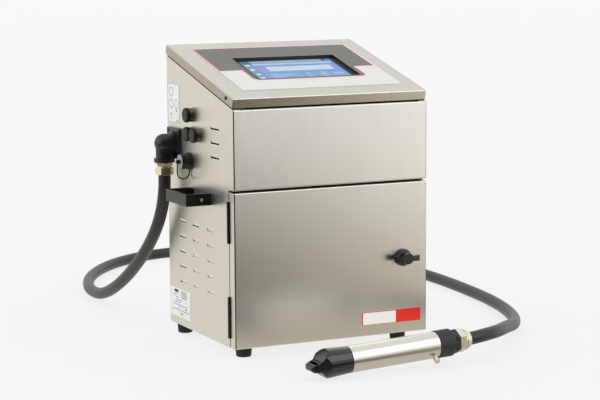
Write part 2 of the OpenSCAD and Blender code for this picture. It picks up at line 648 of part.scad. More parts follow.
// Pan-head screws in the outlet plate, and in the two arms of the side bracket
module fitting_screws() color("#b5b5b5") row_frame() {
    on_left(outlet_at[0], outlet_at[1]) for (u = [-20, 20], v = [-20, 20])
        translate([u, v, outlet_plate_t]) {
        screw_head(2.6, 1.3);
        translate([0, 0, -outlet_plate_t]) cylinder(r = 1.6, h = outlet_plate_t);
    }
    for (arm = [0, 1]) translate([-half_w - 16, bracket_y[arm], bracket_z + bracket_h / 2])
        rotate([arm == 0 ? 90 : -90, 0, 0]) screw_head(2.6, 1.3);
}

mains_flange_t = 2.5;
module mains_inlet() color("#1e1e1e") row_frame() {
    on_rear(inlet_at[0], inlet_at[1]) difference() {
        union() {
            plate(38, 30, mains_flange_t, 3);
            translate([-13.7, -10.2, -22]) cube([27.4, 20.4, 22]);
        }
        translate([0, 0, -18]) linear_extrude(30) polygon([[-12, -8.5], [12, -8.5], [12, 4], [8, 8.5],
            [-8, 8.5], [-12, 4]]);
    }
    on_rear(inlet_at[0], inlet_at[1]) for (x = [-7, 0, 7]) translate([x - 1, x == 0 ? -4.5 : -1.5, -18])
        cube([2, 4.5, 14]);
    on_rear(rocker_at[0], rocker_at[1]) difference() {
        union() {
            plate(26, 32, mains_flange_t, 2);
            translate([-10.9, -13.7, -16]) cube([21.8, 27.4, 16]);
        }
        translate([-8.5, -12, -14]) cube([17, 24, 20]);
        translate([0, 0, -2]) rotate([0, 90, 0]) cylinder(r = 1.5 + run, h = 21, center = true);
    }
}
rocker_throw = 12;
module power_rocker() color("#2c2c2c") row_frame() on_rear(rocker_at[0], rocker_at[1]) {
    rotate([90, 0, 90]) linear_extrude(16, center = true) polygon([[-10.5, -2], [-10.5, 0.9], [0, 3.2],
        [10.5, 5],
        [10.5, 2], [6, -6], [-6, -6]]);
    translate([0, 0, -2]) rotate([0, 90, 0]) cylinder(r = 1.5, h = 20, center = true);
}

// ---- ink system ----

tank_x = [-160, -62];
tank_y = [-60, 60];
tank_h = 118;
module ink_tank() color("#d9d7cc") row_frame() {
    difference() {
        translate([(tank_x[0] + tank_x[1]) / 2, (tank_y[0] + tank_y[1]) / 2, floor_in])
            plate(tank_x[1] - tank_x[0], tank_y[1] - tank_y[0], tank_h, 10);
        translate([(tank_x[0] + tank_x[1]) / 2, (tank_y[0] + tank_y[1]) / 2, floor_in + 3])
            plate(tank_x[1] - tank_x[0] - 5, tank_y[1] - tank_y[0] - 5, tank_h - 6, 8);
    }
    for (y = [-30, 5]) translate([tank_x[0] + 45, y, floor_in + tank_h]) {
        cylinder(r = 13, h = 14);
        translate([0, 0, 14]) cylinder(r = 5, h = 8);
    }
}
module pump_motor() color("#4b4f55") row_frame() translate([-20, 85, floor_in]) {
    plate(70, 60, 6, 4);
    translate([0, 0, 6]) cylinder(r = 26, h = 78);
    translate([0, 0, 84]) plate(56, 56, 30, 6);
    for (x = [-16, 16]) translate([x, 0, 114]) cylinder(r = 5, h = 12);
}
module valve_manifold() color("#c9ccd0") row_frame() {
    box([-158, -70], [half_d - sheet - 32, half_d - sheet], [160, 190]);
    for (x = [-145, -124, -103, -82]) translate([x, half_d - sheet - 16, 190]) cylinder(r = 8.5, h = 34);
    for (x = [-145, -124, -103, -82]) translate([x, half_d - sheet - 16, 148]) cylinder(r = 4, h = 12);
}
cradle_x = [18, 166];
cradle_y = [-98, -10];
cradle_h = 42;
module cartridge_cradle() color("#2f3236") row_frame() difference() {
    box(cradle_x, cradle_y, [floor_in, floor_in + cradle_h]);
    for (i = [0, 1]) bay(i, 2.5, floor_in + 4, cradle_h);
}
// One bay of the cradle, or the bottle that stands in it, held in from the bay's walls by inset
module bay(i, inset, z, h) {
    bay_w = (cradle_x[1] - cradle_x[0]) / 2;
    translate([cradle_x[0] + bay_w * (i + 0.5), (cradle_y[0] + cradle_y[1]) / 2, z])
        plate(bay_w - 2 * inset, cradle_y[1] - cradle_y[0] - 2 * inset, h, 9);
}
bottle_h = 150;
cartridge_lift = 35;
module bottle(i) {
    bay(i, 3.2, floor_in + 4 + gap, bottle_h - gap);
    bay_w = (cradle_x[1] - cradle_x[0]) / 2;
    translate([cradle_x[0] + bay_w * (i + 0.5), (cradle_y[0] + cradle_y[1]) / 2, floor_in + 4 + bottle_h]) {
        cylinder(r = 18, h = 5);
        translate([0, 0, 5]) cylinder(r = 15, h = 16);
    }
}
module ink_cartridge() color("#3b3b3f") row_frame() bottle(0);
module makeup_cartridge() color("#dfe3e6") row_frame() bottle(1);
// Ink, return and bleed tubes from the outlet down through the shelf to the manifold
module bulkhead_tubes() color("#3c4046") row_frame() for (i = [-1, 0, 1]) {
    y = outlet_at[0] + 5 * i;
    turn = 14;
    x_down = tube_hole_at[0];
    z_in = outlet_at[1];
    translate([-half_w - 2, y, z_in]) rotate([0, 90, 0]) cylinder(r = 2.2, h = x_down - turn + half_w + 2,
        $fn = 24);
    translate([x_down - turn, y, z_in - turn]) rotate([90, 0, 0]) rotate_extrude(angle = 90)
        translate([turn, 0]) circle(r = 2.2, $fn = 24);
    translate([x_down, y, 230]) cylinder(r = 2.2, h = z_in - turn - 230, $fn = 24);
}

// ---- electronics ----

module main_board() color("#1f6b3a") row_frame() {
    for (x = [-150, 20], y = [-80, 70]) translate([x, y, upper_z]) cylinder(r = 3, h = 8);
    box([-156, 26], [-86, 76], [upper_z + 8, upper_z + 9.6]);
    for (x = [-140, -100, -60]) box([x, x + 28], [-60, -32], [upper_z + 9.6, upper_z + 12.6]);
    box([-150, -40], [50, 66], [upper_z + 9.6, upper_z + 22]);
    for (y = [-70, -40, -10, 20]) box([6, 22], [y, y + 22], [upper_z + 9.6, upper_z + 21]);
}
module power_supply() color("#b9bcbf") row_frame() difference() {
    box([50, 150], [-90, 90], [upper_z, upper_z + 42]);
    box([51.2, 148.8], [-88.8, 88.8], [upper_z + 1.2, upper_z + 40.8]);
    for (x = [60 : 12 : 140], y = [-70 : 20 : 70]) translate([x, y, upper_z + 38])
        cylinder(r = 3, h = 8, $fn = 20);
}
fan_t = 25;
module cooling_fan() color("#1b1b1d") row_frame() on_rear(fan_at[0], fan_at[1]) {
    translate([0, 0, -sheet - fan_t]) linear_extrude(fan_t) difference() {
        rounded(fan_w, fan_w, 4);
        circle(r = 38);
        for (x = [-32, 32], y = [-32, 32]) translate([x, y]) circle(r = 2.2);
    }
    translate([0, 0, -sheet - fan_t + 21]) ring(14, 1.5 + run, 4);
    for (a = [45 : 90 : 315]) rotate(a) translate([13, -2, -sheet - fan_t + 21]) cube([26, 4, 2.5]);
    linear_extrude(1.8) {
        for (r = [14, 22, 30, 38]) difference() {
            circle(r = r + 0.9);
            circle(r = r - 0.9);
        }
        for (a = [45 : 90 : 315]) rotate(a) translate([14, -0.9]) square([34, 1.8]);
    }
    for (x = [-32, 32], y = [-32, 32]) translate([x, y, 1.8]) {
        screw_head(3.4, 2);
        translate([0, 0, -12]) cylinder(r = 1.9, h = 12);
    }
}
module fan_blades() color("#26262a") row_frame() on_rear(fan_at[0], fan_at[1])
    translate([0, 0, -sheet - fan_t + 3]) {
    cylinder(r = 17, h = 16);
    translate([0, 0, 15]) cylinder(r = 1.5, h = 6);
    for (a = [0 : 360 / 7 : 350]) rotate(a) translate([15, 0, 8]) rotate([38, 0, 0])
        translate([0, -9, -0.8]) cube([20.5, 18, 1.6]);
}

// ---- umbilical ----

function unit(v) = v / norm(v);
function flat_to(v, t) = unit(v - (v * t) * t);
// Directions along the route, square to the two glands at its ends
function route_way(i) = i == 0 ? [0, 0, -1]
    : i == len(hose_points) - 1 ? [-cos(head_tilt), 0, -sin(head_tilt)]
    : unit(hose_points[i + 1] - hose_points[i - 1]);
route_ways = [for (i = [0 : len(hose_points) - 1]) route_way(i)];
// Each ring's side direction is the last ring's, turned as little as it can be, so the tube doesn't twist
route_sides = [for (i = 0, u = [1, 0, 0]; i < len(hose_points);
    i = i + 1, u = flat_to(u, route_ways[min(i, len(hose_points) - 1)])) u];
function ring_points(i) = let (t = route_ways[i], u = flat_to(route_sides[i], t), v = cross(t, u))
    [for (k = [0 : hose_sides - 1]) hose_points[i] + hose_r * (cos(360 * k / hose_sides)
        * u + sin(360 * k / hose_sides) * v)];
module umbilical() color("#333333") row_frame() {
    rings = len(hose_points);
    n = hose_sides;
    polyhedron(
        points = [for (i = [0 : rings - 1]) each ring_points(i)],
        faces = concat(
            [[for (k = [0 : n - 1]) k]],
            [for (i = [0 : rings - 2], k = [0 : n - 1]) [i * n + k, (i + 1) * n + k, i * n + (k + 1) % n]],
            [for (i = [0 : rings - 2], k = [0 : n - 1]) [i * n + (k + 1) % n, (i + 1) * n + k, (i + 1)
                * n + (k + 1) % n]],
            [[for (k = [n - 1 : -1 : 0]) (rings - 1) * n + k]]));
}

// ---- printhead ----

module head_tube() color("#c9c7c0") row_frame() head_frame() difference() {
    along_x(0, tube_l) circle(r = tube_r, $fn = 96);
    along_x(-1, tube_l + 1) circle(r = tube_r - head_wall, $fn = 96);
    translate([screw_at, 0, 0]) rotate([180 - screw_roll, 0, 0]) cylinder(r = 2.5 + run, h = 30);
}
// The nose's side outline: forward of the tube, and up from the axis
nose_side = [[10, -40], [nose_l, -nose_r], [nose_l + 5.5, -21.5], [nose_l + 10, -17.5], [nose_l + 13.5, -12],
    [nose_l + 17.5, -9.8], [nose_l + 26.5, -9.4], [nose_l + 30, -7.4], [nose_l + 31.8, -3.5],
    [nose_l + 31, 0.4], [nose_l + 25, 3.1], [nose_l + 16, 6], [nose_l + 2.5, nose_r - 1.6],
    [nose_l - 2, nose_r + 1], [10, 40]];
// The nose's plan outline, mirrored about the axis
nose_plan = [[10, 40], [nose_l + 1, nose_r + 1], [nose_l + 15.5, 16], [nose_l + 25, 15.5],
    [nose_l + 29.5, 13.5], [nose_l + 32, 9]];
module head_nose() color("#1c1c1e") row_frame() head_frame() mirror([1, 0, 0]) difference() {
    union() {
        rotate([0, 90, 0]) cylinder(r1 = tube_r, r2 = nose_r, h = nose_l, $fn = 96);
        intersection() {
            along_x(nose_l, nose_l + 32) circle(r = nose_r, $fn = 96);
            rotate([90, 0, 0]) linear_extrude(60, center = true) polygon(nose_side);
            linear_extrude(60, center = true) polygon(concat(nose_plan, [for (i = [5 : -1 : 0])
                [nose_plan[i][0], -nose_plan[i][1]]]));
        }
    }
    along_x(-1, nose_l - 2) circle(r = tube_r - head_wall - 0.6, $fn = 96);
    box([nose_l - 3, nose_l + 10], [-13, 13], [-9, 5]);
    box([nose_l + 9, nose_l + 24.5], [-13, 13], [-1.5, 1.5]);
    box([nose_l + 18, nose_l + 24], [-13, 13], [-1.5, 10]);
}
module thumbscrew() color("#b8b4aa") row_frame() head_frame() translate([screw_at, 0, 0])
    rotate([180 - screw_roll, 0, 0]) {
    translate([0, 0, 16.5]) cylinder(r = 2, h = 3);
    translate([0, 0, 19.4]) cylinder(r = 2.5, h = 4.2);
    translate([0, 0, 23.6]) cylinder(r = 4.3, h = 9.2);
}
module head_collar() color("#2b2b2b") row_frame() head_frame() {
    translate([tube_l + gap, 0, 0]) rotate([0, 90, 0]) difference() {
        union() {
            cylinder(r = tube_r + 1, h = collar_l - 6 - gap, $fn = 96);
            translate([0, 0, collar_l - 6 - gap]) cylinder(r1 = tube_r + 1, r2 = 17.5, h = 6, $fn = 96);
        }
        translate([0, 0, -1]) cylinder(r = 12, h = 60);
    }
    difference() {
        along_x(tube_l + collar_l, tube_l + collar_l + head_hex_l) hexagon(34);
        along_x(tube_l + collar_l - 1, tube_l + collar_l + head_hex_l + 1) circle(r = 12);
    }
}
module head_gland() color("#d8d4c6") row_frame() head_frame()
    translate([tube_l + collar_l + head_hex_l, 0, 0]) difference() {
    union() {
        along_x(0, 11) hexagon(33);
        along_x(11, 14) circle(r = 15.5);
        translate([14, 0, 0]) rotate([0, 90, 0]) cylinder(r1 = 16.5, r2 = 13.5, h = head_gland_l - 14);
    }
    along_x(-1, head_gland_l + 1) circle(r = 9);
}
// The printhead's works: a plug in the tail, a spine, the drop generator, the charge electrode,
// the deflector plates and the gutter
module head_chassis() color("#a9adb3") row_frame() head_frame() difference() {
    union() {
        along_x(tube_l - 16, tube_l + gap) circle(r = tube_r - head_wall - gap);
        box([-24, tube_l - 16], [-13, 13], [-13, -10]);
        box([50, tube_l - 16], [-12, 12], [-10, 8]);
        box([22, 46], [-9, 9], [-10, 7]);
        box([10, 16], [-6, 6], [-10, 4]);
        for (y = [-5, 3]) box([-12, 6], [y, y + 2], [-10, 6]);
        box([-22, -16], [-4, 4], [-10, 2]);
    }
    translate([screw_at, 0, 0]) rotate([180 - screw_roll, 0, 0]) translate([-screw_at, -2.4, 15.5])
        cube([screw_at + 2.4, 4.8, 12]);
}

// ---- drawing ----

base_pan();
left_side_panel();
right_side_panel();
rear_panel();
upper_front_panel();
front_frame();
compartment_shelf();
rubber_feet();
foot_screws();
door_gasket();
door_panel();
badge_plate();
door_hinge_leaves();
cabinet_hinge_leaves();
hinge_pins();
latch_knob();
latch_cam();
lid_panel();
lid_gasket();
keypad_overlay();
display_bezel();
display_screen();
display_board();
lid_screws();
lid_hinge_leaves();
rear_hinge_leaves();
legend_label();
rating_plate();
outlet_plate();
outlet_elbow();
outlet_gland();
port_sockets();
port_cap_upper();
port_cap_front();
port_cap_back();
data_port();
data_cap();
cap_tether();
side_bracket();
fitting_screws();
ink_tank();
pump_motor();
valve_manifold();
cartridge_cradle();
ink_cartridge();
makeup_cartridge();
bulkhead_tubes();
main_board();
power_supply();
cooling_fan();
fan_blades();
mains_inlet();
power_rocker();
umbilical();
head_tube();
head_nose();
thumbscrew();
head_collar();
head_gland();
head_chassis();
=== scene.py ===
import math

import bpy
from mathutils import Matrix, Vector
from mathutils.bvhtree import BVHTree


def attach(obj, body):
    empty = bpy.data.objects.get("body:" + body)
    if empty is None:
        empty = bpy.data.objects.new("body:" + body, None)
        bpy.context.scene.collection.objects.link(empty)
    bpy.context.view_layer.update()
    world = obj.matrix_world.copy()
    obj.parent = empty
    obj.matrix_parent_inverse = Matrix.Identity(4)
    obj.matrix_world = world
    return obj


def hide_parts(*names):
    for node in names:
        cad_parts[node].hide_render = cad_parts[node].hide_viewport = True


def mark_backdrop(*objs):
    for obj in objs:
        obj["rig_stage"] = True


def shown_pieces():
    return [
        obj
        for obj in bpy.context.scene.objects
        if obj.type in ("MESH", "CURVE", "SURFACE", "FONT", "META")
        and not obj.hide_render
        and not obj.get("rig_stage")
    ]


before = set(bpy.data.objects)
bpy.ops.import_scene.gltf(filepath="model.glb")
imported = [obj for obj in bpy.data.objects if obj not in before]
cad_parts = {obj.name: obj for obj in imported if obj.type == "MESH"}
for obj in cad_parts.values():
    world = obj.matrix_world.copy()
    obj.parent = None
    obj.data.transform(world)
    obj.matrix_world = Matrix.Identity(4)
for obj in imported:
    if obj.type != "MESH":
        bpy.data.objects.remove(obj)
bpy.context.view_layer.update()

# ---- Camera ----
# A long lens, from the front left of the machine and a little above its lid, as the photograph was
# taken. Places are in metres in the CAD frame: +X right, +Y back, +Z up.
camera_at = Vector((-1.3764, -2.7954, 0.6742))
camera_yaw = 0.4523
camera_pitch = 0.1370
camera_roll = -0.0062
camera_lens = 115.29
sensor_width = 36.0
shift_x = 0.0
shift_y = 0.0
image_w, image_h = 600, 400
# Points of the photograph, from its top left corner: the machine's own ends without its hose, corners and
# middles that set the camera, and the middle of what shows of each thing that is placed by sight.
image_points = {
    "lid_rear_left": (166.4, 44.5), "lid_front_left": (232.9, 98.9), "lid_front_right": (426.9, 89.9),
    "door_low_left": (235.6, 350.3), "door_low_right": (426.2, 329.7), "latch_knob": (406.4, 258.2),
    "thumbscrew": (436.6, 359.7), "upper_cap": (186.0, 115.5), "printed_dip": (310.4, 77.7),
    "message_strip": (299.9, 67.9), "legend": (173.6, 103.0), "rating_marks": (180.4, 303.0),
    "badge_field": (379.5, 317.7)}

forward = Vector((math.sin(camera_yaw) * math.cos(camera_pitch), math.cos(camera_yaw) * math.cos(camera_pitch),
                  -math.sin(camera_pitch)))
level = Vector((math.cos(camera_yaw), -math.sin(camera_yaw), 0))
upright = level.cross(forward)
camera_right = math.cos(camera_roll) * level + math.sin(camera_roll) * upright
camera_up = math.cos(camera_roll) * upright - math.sin(camera_roll) * level
camera_data = bpy.data.cameras.new("camera")
camera_data.lens = camera_lens
camera_data.sensor_width = sensor_width
camera_data.sensor_fit = "AUTO"
camera_data.shift_x = shift_x
camera_data.shift_y = shift_y
camera_data.clip_end = 50
camera = bpy.data.objects.new("camera", camera_data)
camera.matrix_world = Matrix.Translation(camera_at) @ Matrix(
    (camera_right, camera_up, -forward)).transposed().to_4x4()
bpy.context.scene.collection.objects.link(camera)
bpy.context.scene.camera = camera


def sight(x, y):
    """The ray from the camera through an image point of the photograph: its start and its direction."""
    size = max(image_w, image_h)
    local = Vector((x - image_w / 2 + shift_x * size, image_h / 2 - y + shift_y * size,
                    -size * camera_lens / sensor_width))
    return camera_at, (camera.matrix_world.to_3x3() @ local).normalized()


# ---- Umbilical hose ----
# A black rubber sleeve, 21 mm across, over the ink lines and the printhead's cables. It is shown from
# end to end: out of the gland on the left side, round behind the machine and into the printhead's tail.
hose_r = 0.0105
# The middle of the cabinet's footprint in the CAD frame, in metres, and the route in millimetres from it.
middle_x, middle_y = 0.02075, 0.0963
hose_route = [
    (-196, 103, 275.5), (-196, 104, 254), (-196, 111, 229), (-196, 124, 204), (-196, 144, 178), (-196, 170, 153),
    (-196, 204, 126), (-196, 246, 98), (-196, 294, 70), (-196, 348, 44), (-195, 400, 25), (-193, 450, 14),
    (-187, 508, 11), (-170, 570, 10.5), (-145, 630, 10.5), (-110, 688, 10.5), (-67, 742, 10.5), (-18, 786, 10.5),
    (38, 820, 10.5), (102, 838, 10.5), (172, 835, 10.5), (240, 812, 10.5), (305, 770, 10.5), (360, 712, 10.5),
    (402, 640, 10.5), (430, 560, 10.5), (446, 480, 10.5), (453, 400, 10.5), (453, 330, 10.5), (449.5, 255, 10.5),
    (442, 175, 10.5), (431.5, 95, 10.5), (416, 20, 10.5), (398.5, -38, 10.5), (377.5, -88, 11.7), (352, -133, 15.3),
    (319, -181, 21), (287, -218, 27.5), (257, -250, 32.5), (230, -277, 36), (204, -297, 38.3), (178, -309.5, 38.6),
    (150.26, -314.5, 36.83)]


def place(x, y, z):
    """A point given in millimetres from the middle of the cabinet's footprint, in metres in the CAD frame."""
    return Vector((x / 1000 + middle_x, y / 1000 + middle_y, z / 1000))


def smooth_line(points, steps):
    """A Catmull-Rom line through points, with steps stretches between each two."""
    ends = [2 * points[0] - points[1], *points, 2 * points[-1] - points[-2]]
    line = []
    for a, b, c, d in zip(ends, ends[1:], ends[2:], ends[3:]):
        for k in range(steps):
            t = k / steps
            line.append(0.5 * (2 * b + (c - a) * t + (2 * a - 5 * b + 4 * c - d) * t * t
                               + (3 * b - a - 3 * c + d) * t * t * t))
    return [*line, points[-1]]


def tube_along(name, line, radius, sides):
    """A closed round tube along line, made as a mesh."""
    bpy.ops.object.select_all(action="DESELECT")
    data = bpy.data.curves.new(name, "CURVE")
    data.dimensions = "3D"
    data.bevel_depth = radius
    data.bevel_resolution = sides // 4
    data.use_fill_caps = True
    spline = data.splines.new("POLY")
    spline.points.add(len(line) - 1)
    for point, at in zip(spline.points, line):
        point.co = (*at, 1)
    o = bpy.data.objects.new(name, data)
    bpy.context.scene.collection.objects.link(o)
    bpy.context.view_layer.objects.active = o
    o.select_set(True)
    bpy.ops.object.convert(target="MESH")
    o = bpy.context.object
    bpy.ops.object.shade_smooth_by_angle(angle=math.radians(50))
    return o


def colour(code):
    """An sRGB hex value as the linear colour that a shader takes."""
    parts = [int(code[i:i + 2], 16) / 255 for i in (0, 2, 4)]
    return [c / 12.92 if c <= 0.04045 else ((c + 0.055) / 1.055) ** 2.4 for c in parts] + [1.0]


def add(tree, kind, settings=None, stops=(), **links):
    """Adds one node to tree, with its settings, a ramp's stops as places and colours, and values or other
    nodes' sockets in its inputs."""
    n = tree.nodes.new("ShaderNode" + kind)
    for key, value in (settings or {}).items():
        setattr(n, key, value)
    for place_at, _ in stops[1:-1]:
        n.color_ramp.elements.new(place_at)
    for k, (place_at, shade) in enumerate(stops):
        n.color_ramp.elements[k].position = place_at
        n.color_ramp.elements[k].color = shade
    connect(tree, n, **links)
    return n


def connect(tree, n, **links):
    """Puts values or sockets in a node's inputs, named with _ for a space, or _0, _1 for a place in the row."""
    for key, value in links.items():
        socket = n.inputs[int(key[1:])] if key[1:].isdigit() else n.inputs[key.replace("_", " ")]
        if isinstance(value, bpy.types.NodeSocket):
            tree.links.new(value, socket)
        else:
            socket.default_value = value


def new_material(name, **shader):
    """A material, its node tree and its main shader, with that shader's plain values set."""
    m = bpy.data.materials.new(name)
    m.use_nodes = True
    connect(m.node_tree, m.node_tree.nodes["Principled BSDF"], **shader)
    return m, m.node_tree, m.node_tree.nodes["Principled BSDF"]


hose_line = smooth_line([place(*p) for p in hose_route], 5)
umbilical = tube_along("umbilical_sleeve", hose_line, hose_r, 24)

# Synthetic rubber, extruded and wiped: nearly black, with a low sheen and a faint bloom in patches.
hose_rubber, tree, shader = new_material("extruded_rubber", Roughness=0.38, IOR=1.52)
coords = add(tree, "TexCoord")
bloom = add(tree, "TexNoise", Vector=coords.outputs["Object"], Scale=14.0, Detail=5.0, Roughness=0.6)
tone = add(tree, "ValToRGB", stops=((0.3, colour("131212")), (0.75, colour("201f1f"))), Fac=bloom.outputs["Fac"])
grain = add(tree, "TexNoise", Vector=coords.outputs["Object"], Scale=900.0, Detail=2.0)
bump = add(tree, "Bump", Strength=0.25, Distance=0.0004, Height=grain.outputs["Fac"])
connect(tree, shader, Base_Color=tone.outputs["Color"], Normal=bump.outputs["Normal"])
umbilical.data.materials.append(hose_rubber)
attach(umbilical, "cabinet")
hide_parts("umbilical")

# ---- Studio ----
# A plain pale floor that runs into a pale background, under soft light from all round. Brushed steel shows
# what lies about it, so it sees a floor of its own: dim and warm in front of the machine as the photographer's
# side of a studio is, brighter to the right and further off, and pale behind. Only reflections see it.
floor_paint, tree, shader = new_material("matt_white_floor", Base_Color=colour("606060"), Roughness=0.95,
                                         Emission_Color=colour("ffffff"), Emission_Strength=0.77)
grit = add(tree, "TexNoise", Vector=add(tree, "TexCoord").outputs["Object"], Scale=300.0, Detail=2.0)
connect(tree, shader, Normal=add(tree, "Bump", Strength=0.05, Distance=0.0002,
                                 Height=grit.outputs["Fac"]).outputs["Normal"])
bpy.ops.object.select_all(action="DESELECT")
bpy.ops.mesh.primitive_plane_add(size=90, location=(0, 0, -0.0006))
floor = bpy.context.object
floor.name = "floor"
floor.data.materials.append(floor_paint)
floor.visible_glossy = False


def reflected_plane(name, finish, size, at, turn=(0, 0, 0)):
    """A flat piece of the studio that only reflections see."""
    bpy.ops.object.select_all(action="DESELECT")
    bpy.ops.mesh.primitive_plane_add(size=size, location=at, rotation=turn)
    o = bpy.context.object
    o.name = name
    o.data.materials.append(finish)
    o.visible_camera = False
    o.visible_diffuse = False
    o.visible_shadow = False
    return o


# Across the front of the machine and ahead of it, in metres, from the middle of the floor.
bench_tone, tree, shader = new_material("studio_floor_seen_in_steel", Base_Color=(0, 0, 0, 1), Roughness=1.0,
                                        Emission_Strength=1.35)
coords = add(tree, "TexCoord")
turned = add(tree, "Mapping", Vector=coords.outputs["Object"], Rotation=(0, 0, -0.457))
split = add(tree, "SeparateXYZ", Vector=turned.outputs["Vector"])
across, ahead = split.outputs["X"], split.outputs["Y"]
# It brightens to the right, and again far ahead, with the fourth power of the distance.
sideways = add(tree, "MapRange", Value=across, From_Min=-0.3, From_Max=0.5, To_Min=-0.03, To_Max=0.8)
squared = add(tree, "Math", {"operation": "MULTIPLY"}, _0=ahead, _1=ahead)
fourth = add(tree, "Math", {"operation": "MULTIPLY"}, _0=squared.outputs[0], _1=squared.outputs[0])
further = add(tree, "Math", {"operation": "MULTIPLY_ADD", "use_clamp": True}, _0=fourth.outputs[0], _1=0.0118,
              _2=sideways.outputs[0])
# It is even and pale behind the machine's front, and dark at the left unless far ahead.
behind = add(tree, "MapRange", Value=ahead, From_Min=-0.3, From_Max=0.03, To_Min=0.0, To_Max=1.0)
both_ways = add(tree, "Mix", {"data_type": "FLOAT"}, Factor=behind.outputs[0], _2=further.outputs[0], _3=0.67)
beside = add(tree, "MapRange", Value=across, From_Min=-1.05, From_Max=-0.5, To_Min=0.08, To_Max=1.0)
not_there = add(tree, "MapRange", Value=ahead, From_Min=0.5, From_Max=1.1, To_Min=0.0, To_Max=1.0)
kept = add(tree, "Mix", {"data_type": "FLOAT"}, Factor=not_there.outputs[0], _2=beside.outputs[0], _3=1.0)
level_seen = add(tree, "Math", {"operation": "MULTIPLY"}, _0=both_ways.outputs[0], _1=kept.outputs[0])
tint = add(tree, "ValToRGB", stops=(
    (0.0, (0.0, 0.0, 0.0, 1.0)), (0.3, (0.256, 0.222, 0.15, 1.0)), (0.55, (0.47, 0.436, 0.352, 1.0)),
    (0.8, (0.74, 0.726, 0.68, 1.0)), (1.0, (1.0, 0.99, 0.965, 1.0))), Fac=level_seen.outputs[0])
connect(tree, shader, Emission_Color=tint.outputs["Color"])
bench = reflected_plane("bench_reflection", bench_tone, 60, (0, 0, -0.0012))
# A black flag round the camera: what is rounded and faces it turns dark there, as under studio lamps.
flag_cloth, tree, shader = new_material("black_studio_flag", Base_Color=(0, 0, 0, 1), Roughness=1.0,
                                        Emission_Color=(1, 0.95, 0.88, 1), Emission_Strength=0.05)
flag = reflected_plane("camera_flag", flag_cloth, 5.2, (-2.0, -4.1, 2.2), (math.pi / 2, 0, -camera_yaw))
# A cream card lies on the floor under the printhead, and lightens its tube and the foot of the door.
card_paper, tree, shader = new_material("cream_studio_card", Base_Color=(0, 0, 0, 1), Roughness=1.0,
                                        Emission_Color=(1, 0.95, 0.85, 1), Emission_Strength=0.6)
card = reflected_plane("floor_card", card_paper, 1, (0.06, -0.225, -0.0009))
card.scale = (0.44, 0.11, 1)
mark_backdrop(floor, bench, flag, card)

world = bpy.data.worlds.new("studio")
bpy.context.scene.world = world
world.use_nodes = True
connect(world.node_tree, world.node_tree.nodes["Background"], Color=colour("f5f5f5"), Strength=1.0)
bpy.context.scene.view_settings.view_transform = "Standard"


def soft_light(name, at, aim, size, power, tint="ffffff"):
    """A square soft box at a place, turned to its aim."""
    data = bpy.data.lights.new(name, "AREA")
    data.size = size
    data.energy = power
    data.color = colour(tint)[:3]
    o = bpy.data.objects.new(name, data)
    o.location = at
    o.rotation_euler = (Vector(aim) - Vector(at)).to_track_quat("-Z", "Y").to_euler()
    bpy.context.scene.collection.objects.link(o)
    return o


soft_light("key", (1.6, -2.2, 1.9), (0, 0, 0.25), 2.2, 16)
soft_light("left", (-2.2, 0.6, 1.3), (-0.1, 0, 0.25), 1.8, 9)


# ---- Stainless cabinet ----
# Folded sheet of 304 stainless steel, 1.5 mm thick, with a faint upright brushed finish: two side panels
# with pressed louvres, a back, a base, a shelf and a front frame, spot welded and folded at the corners.
def softened(source, width, segments=2, angle=32):
    """A copy of a CAD node with its points merged, its flat faces made whole and its edges rounded."""
    bpy.ops.object.select_all(action="DESELECT")
    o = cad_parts[source].copy()
    o.data = o.data.copy()
    o.parent = None
    for key in [k for k in o.keys() if k.startswith("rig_")]:
        del o[key]
    o.name = source + "_finished"
    o.data.materials.clear()
    bpy.context.scene.collection.objects.link(o)
    bpy.context.view_layer.objects.active = o
    o.select_set(True)
    bpy.ops.object.mode_set(mode="EDIT")
    bpy.ops.mesh.select_all(action="SELECT")
    bpy.ops.mesh.remove_doubles(threshold=0.000002)
    bpy.ops.mesh.dissolve_limited(angle_limit=math.radians(0.8))
    bpy.ops.object.mode_set(mode="OBJECT")
    if width:
        edges = o.modifiers.new("edges", "BEVEL")
        edges.width = width
        edges.segments = segments
        edges.limit_method = "ANGLE"
        edges.angle_limit = math.radians(angle)
        edges.use_clamp_overlap = True
        bpy.ops.object.modifier_apply(modifier="edges")
    even_shading(o)
    return o


def even_shading(o, angle=35):
    """Shades curved faces smoothly and keeps flat ones flat, right up to their rounded edges."""
    bpy.context.view_layer.objects.active = o
    bpy.ops.object.shade_smooth_by_angle(angle=math.radians(angle))
    flats = o.modifiers.new("flats", "WEIGHTED_NORMAL")
    flats.weight = 100
    flats.keep_sharp = True
    bpy.ops.object.modifier_apply(modifier="flats")


def dress(source, body, material, width, segments=2, angle=32):
    """Stands a softened copy with its finish in the place of a CAD node."""
    o = softened(source, width, segments, angle)
    o.data.materials.append(material)
    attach(o, body)
    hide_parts(source)
    return o


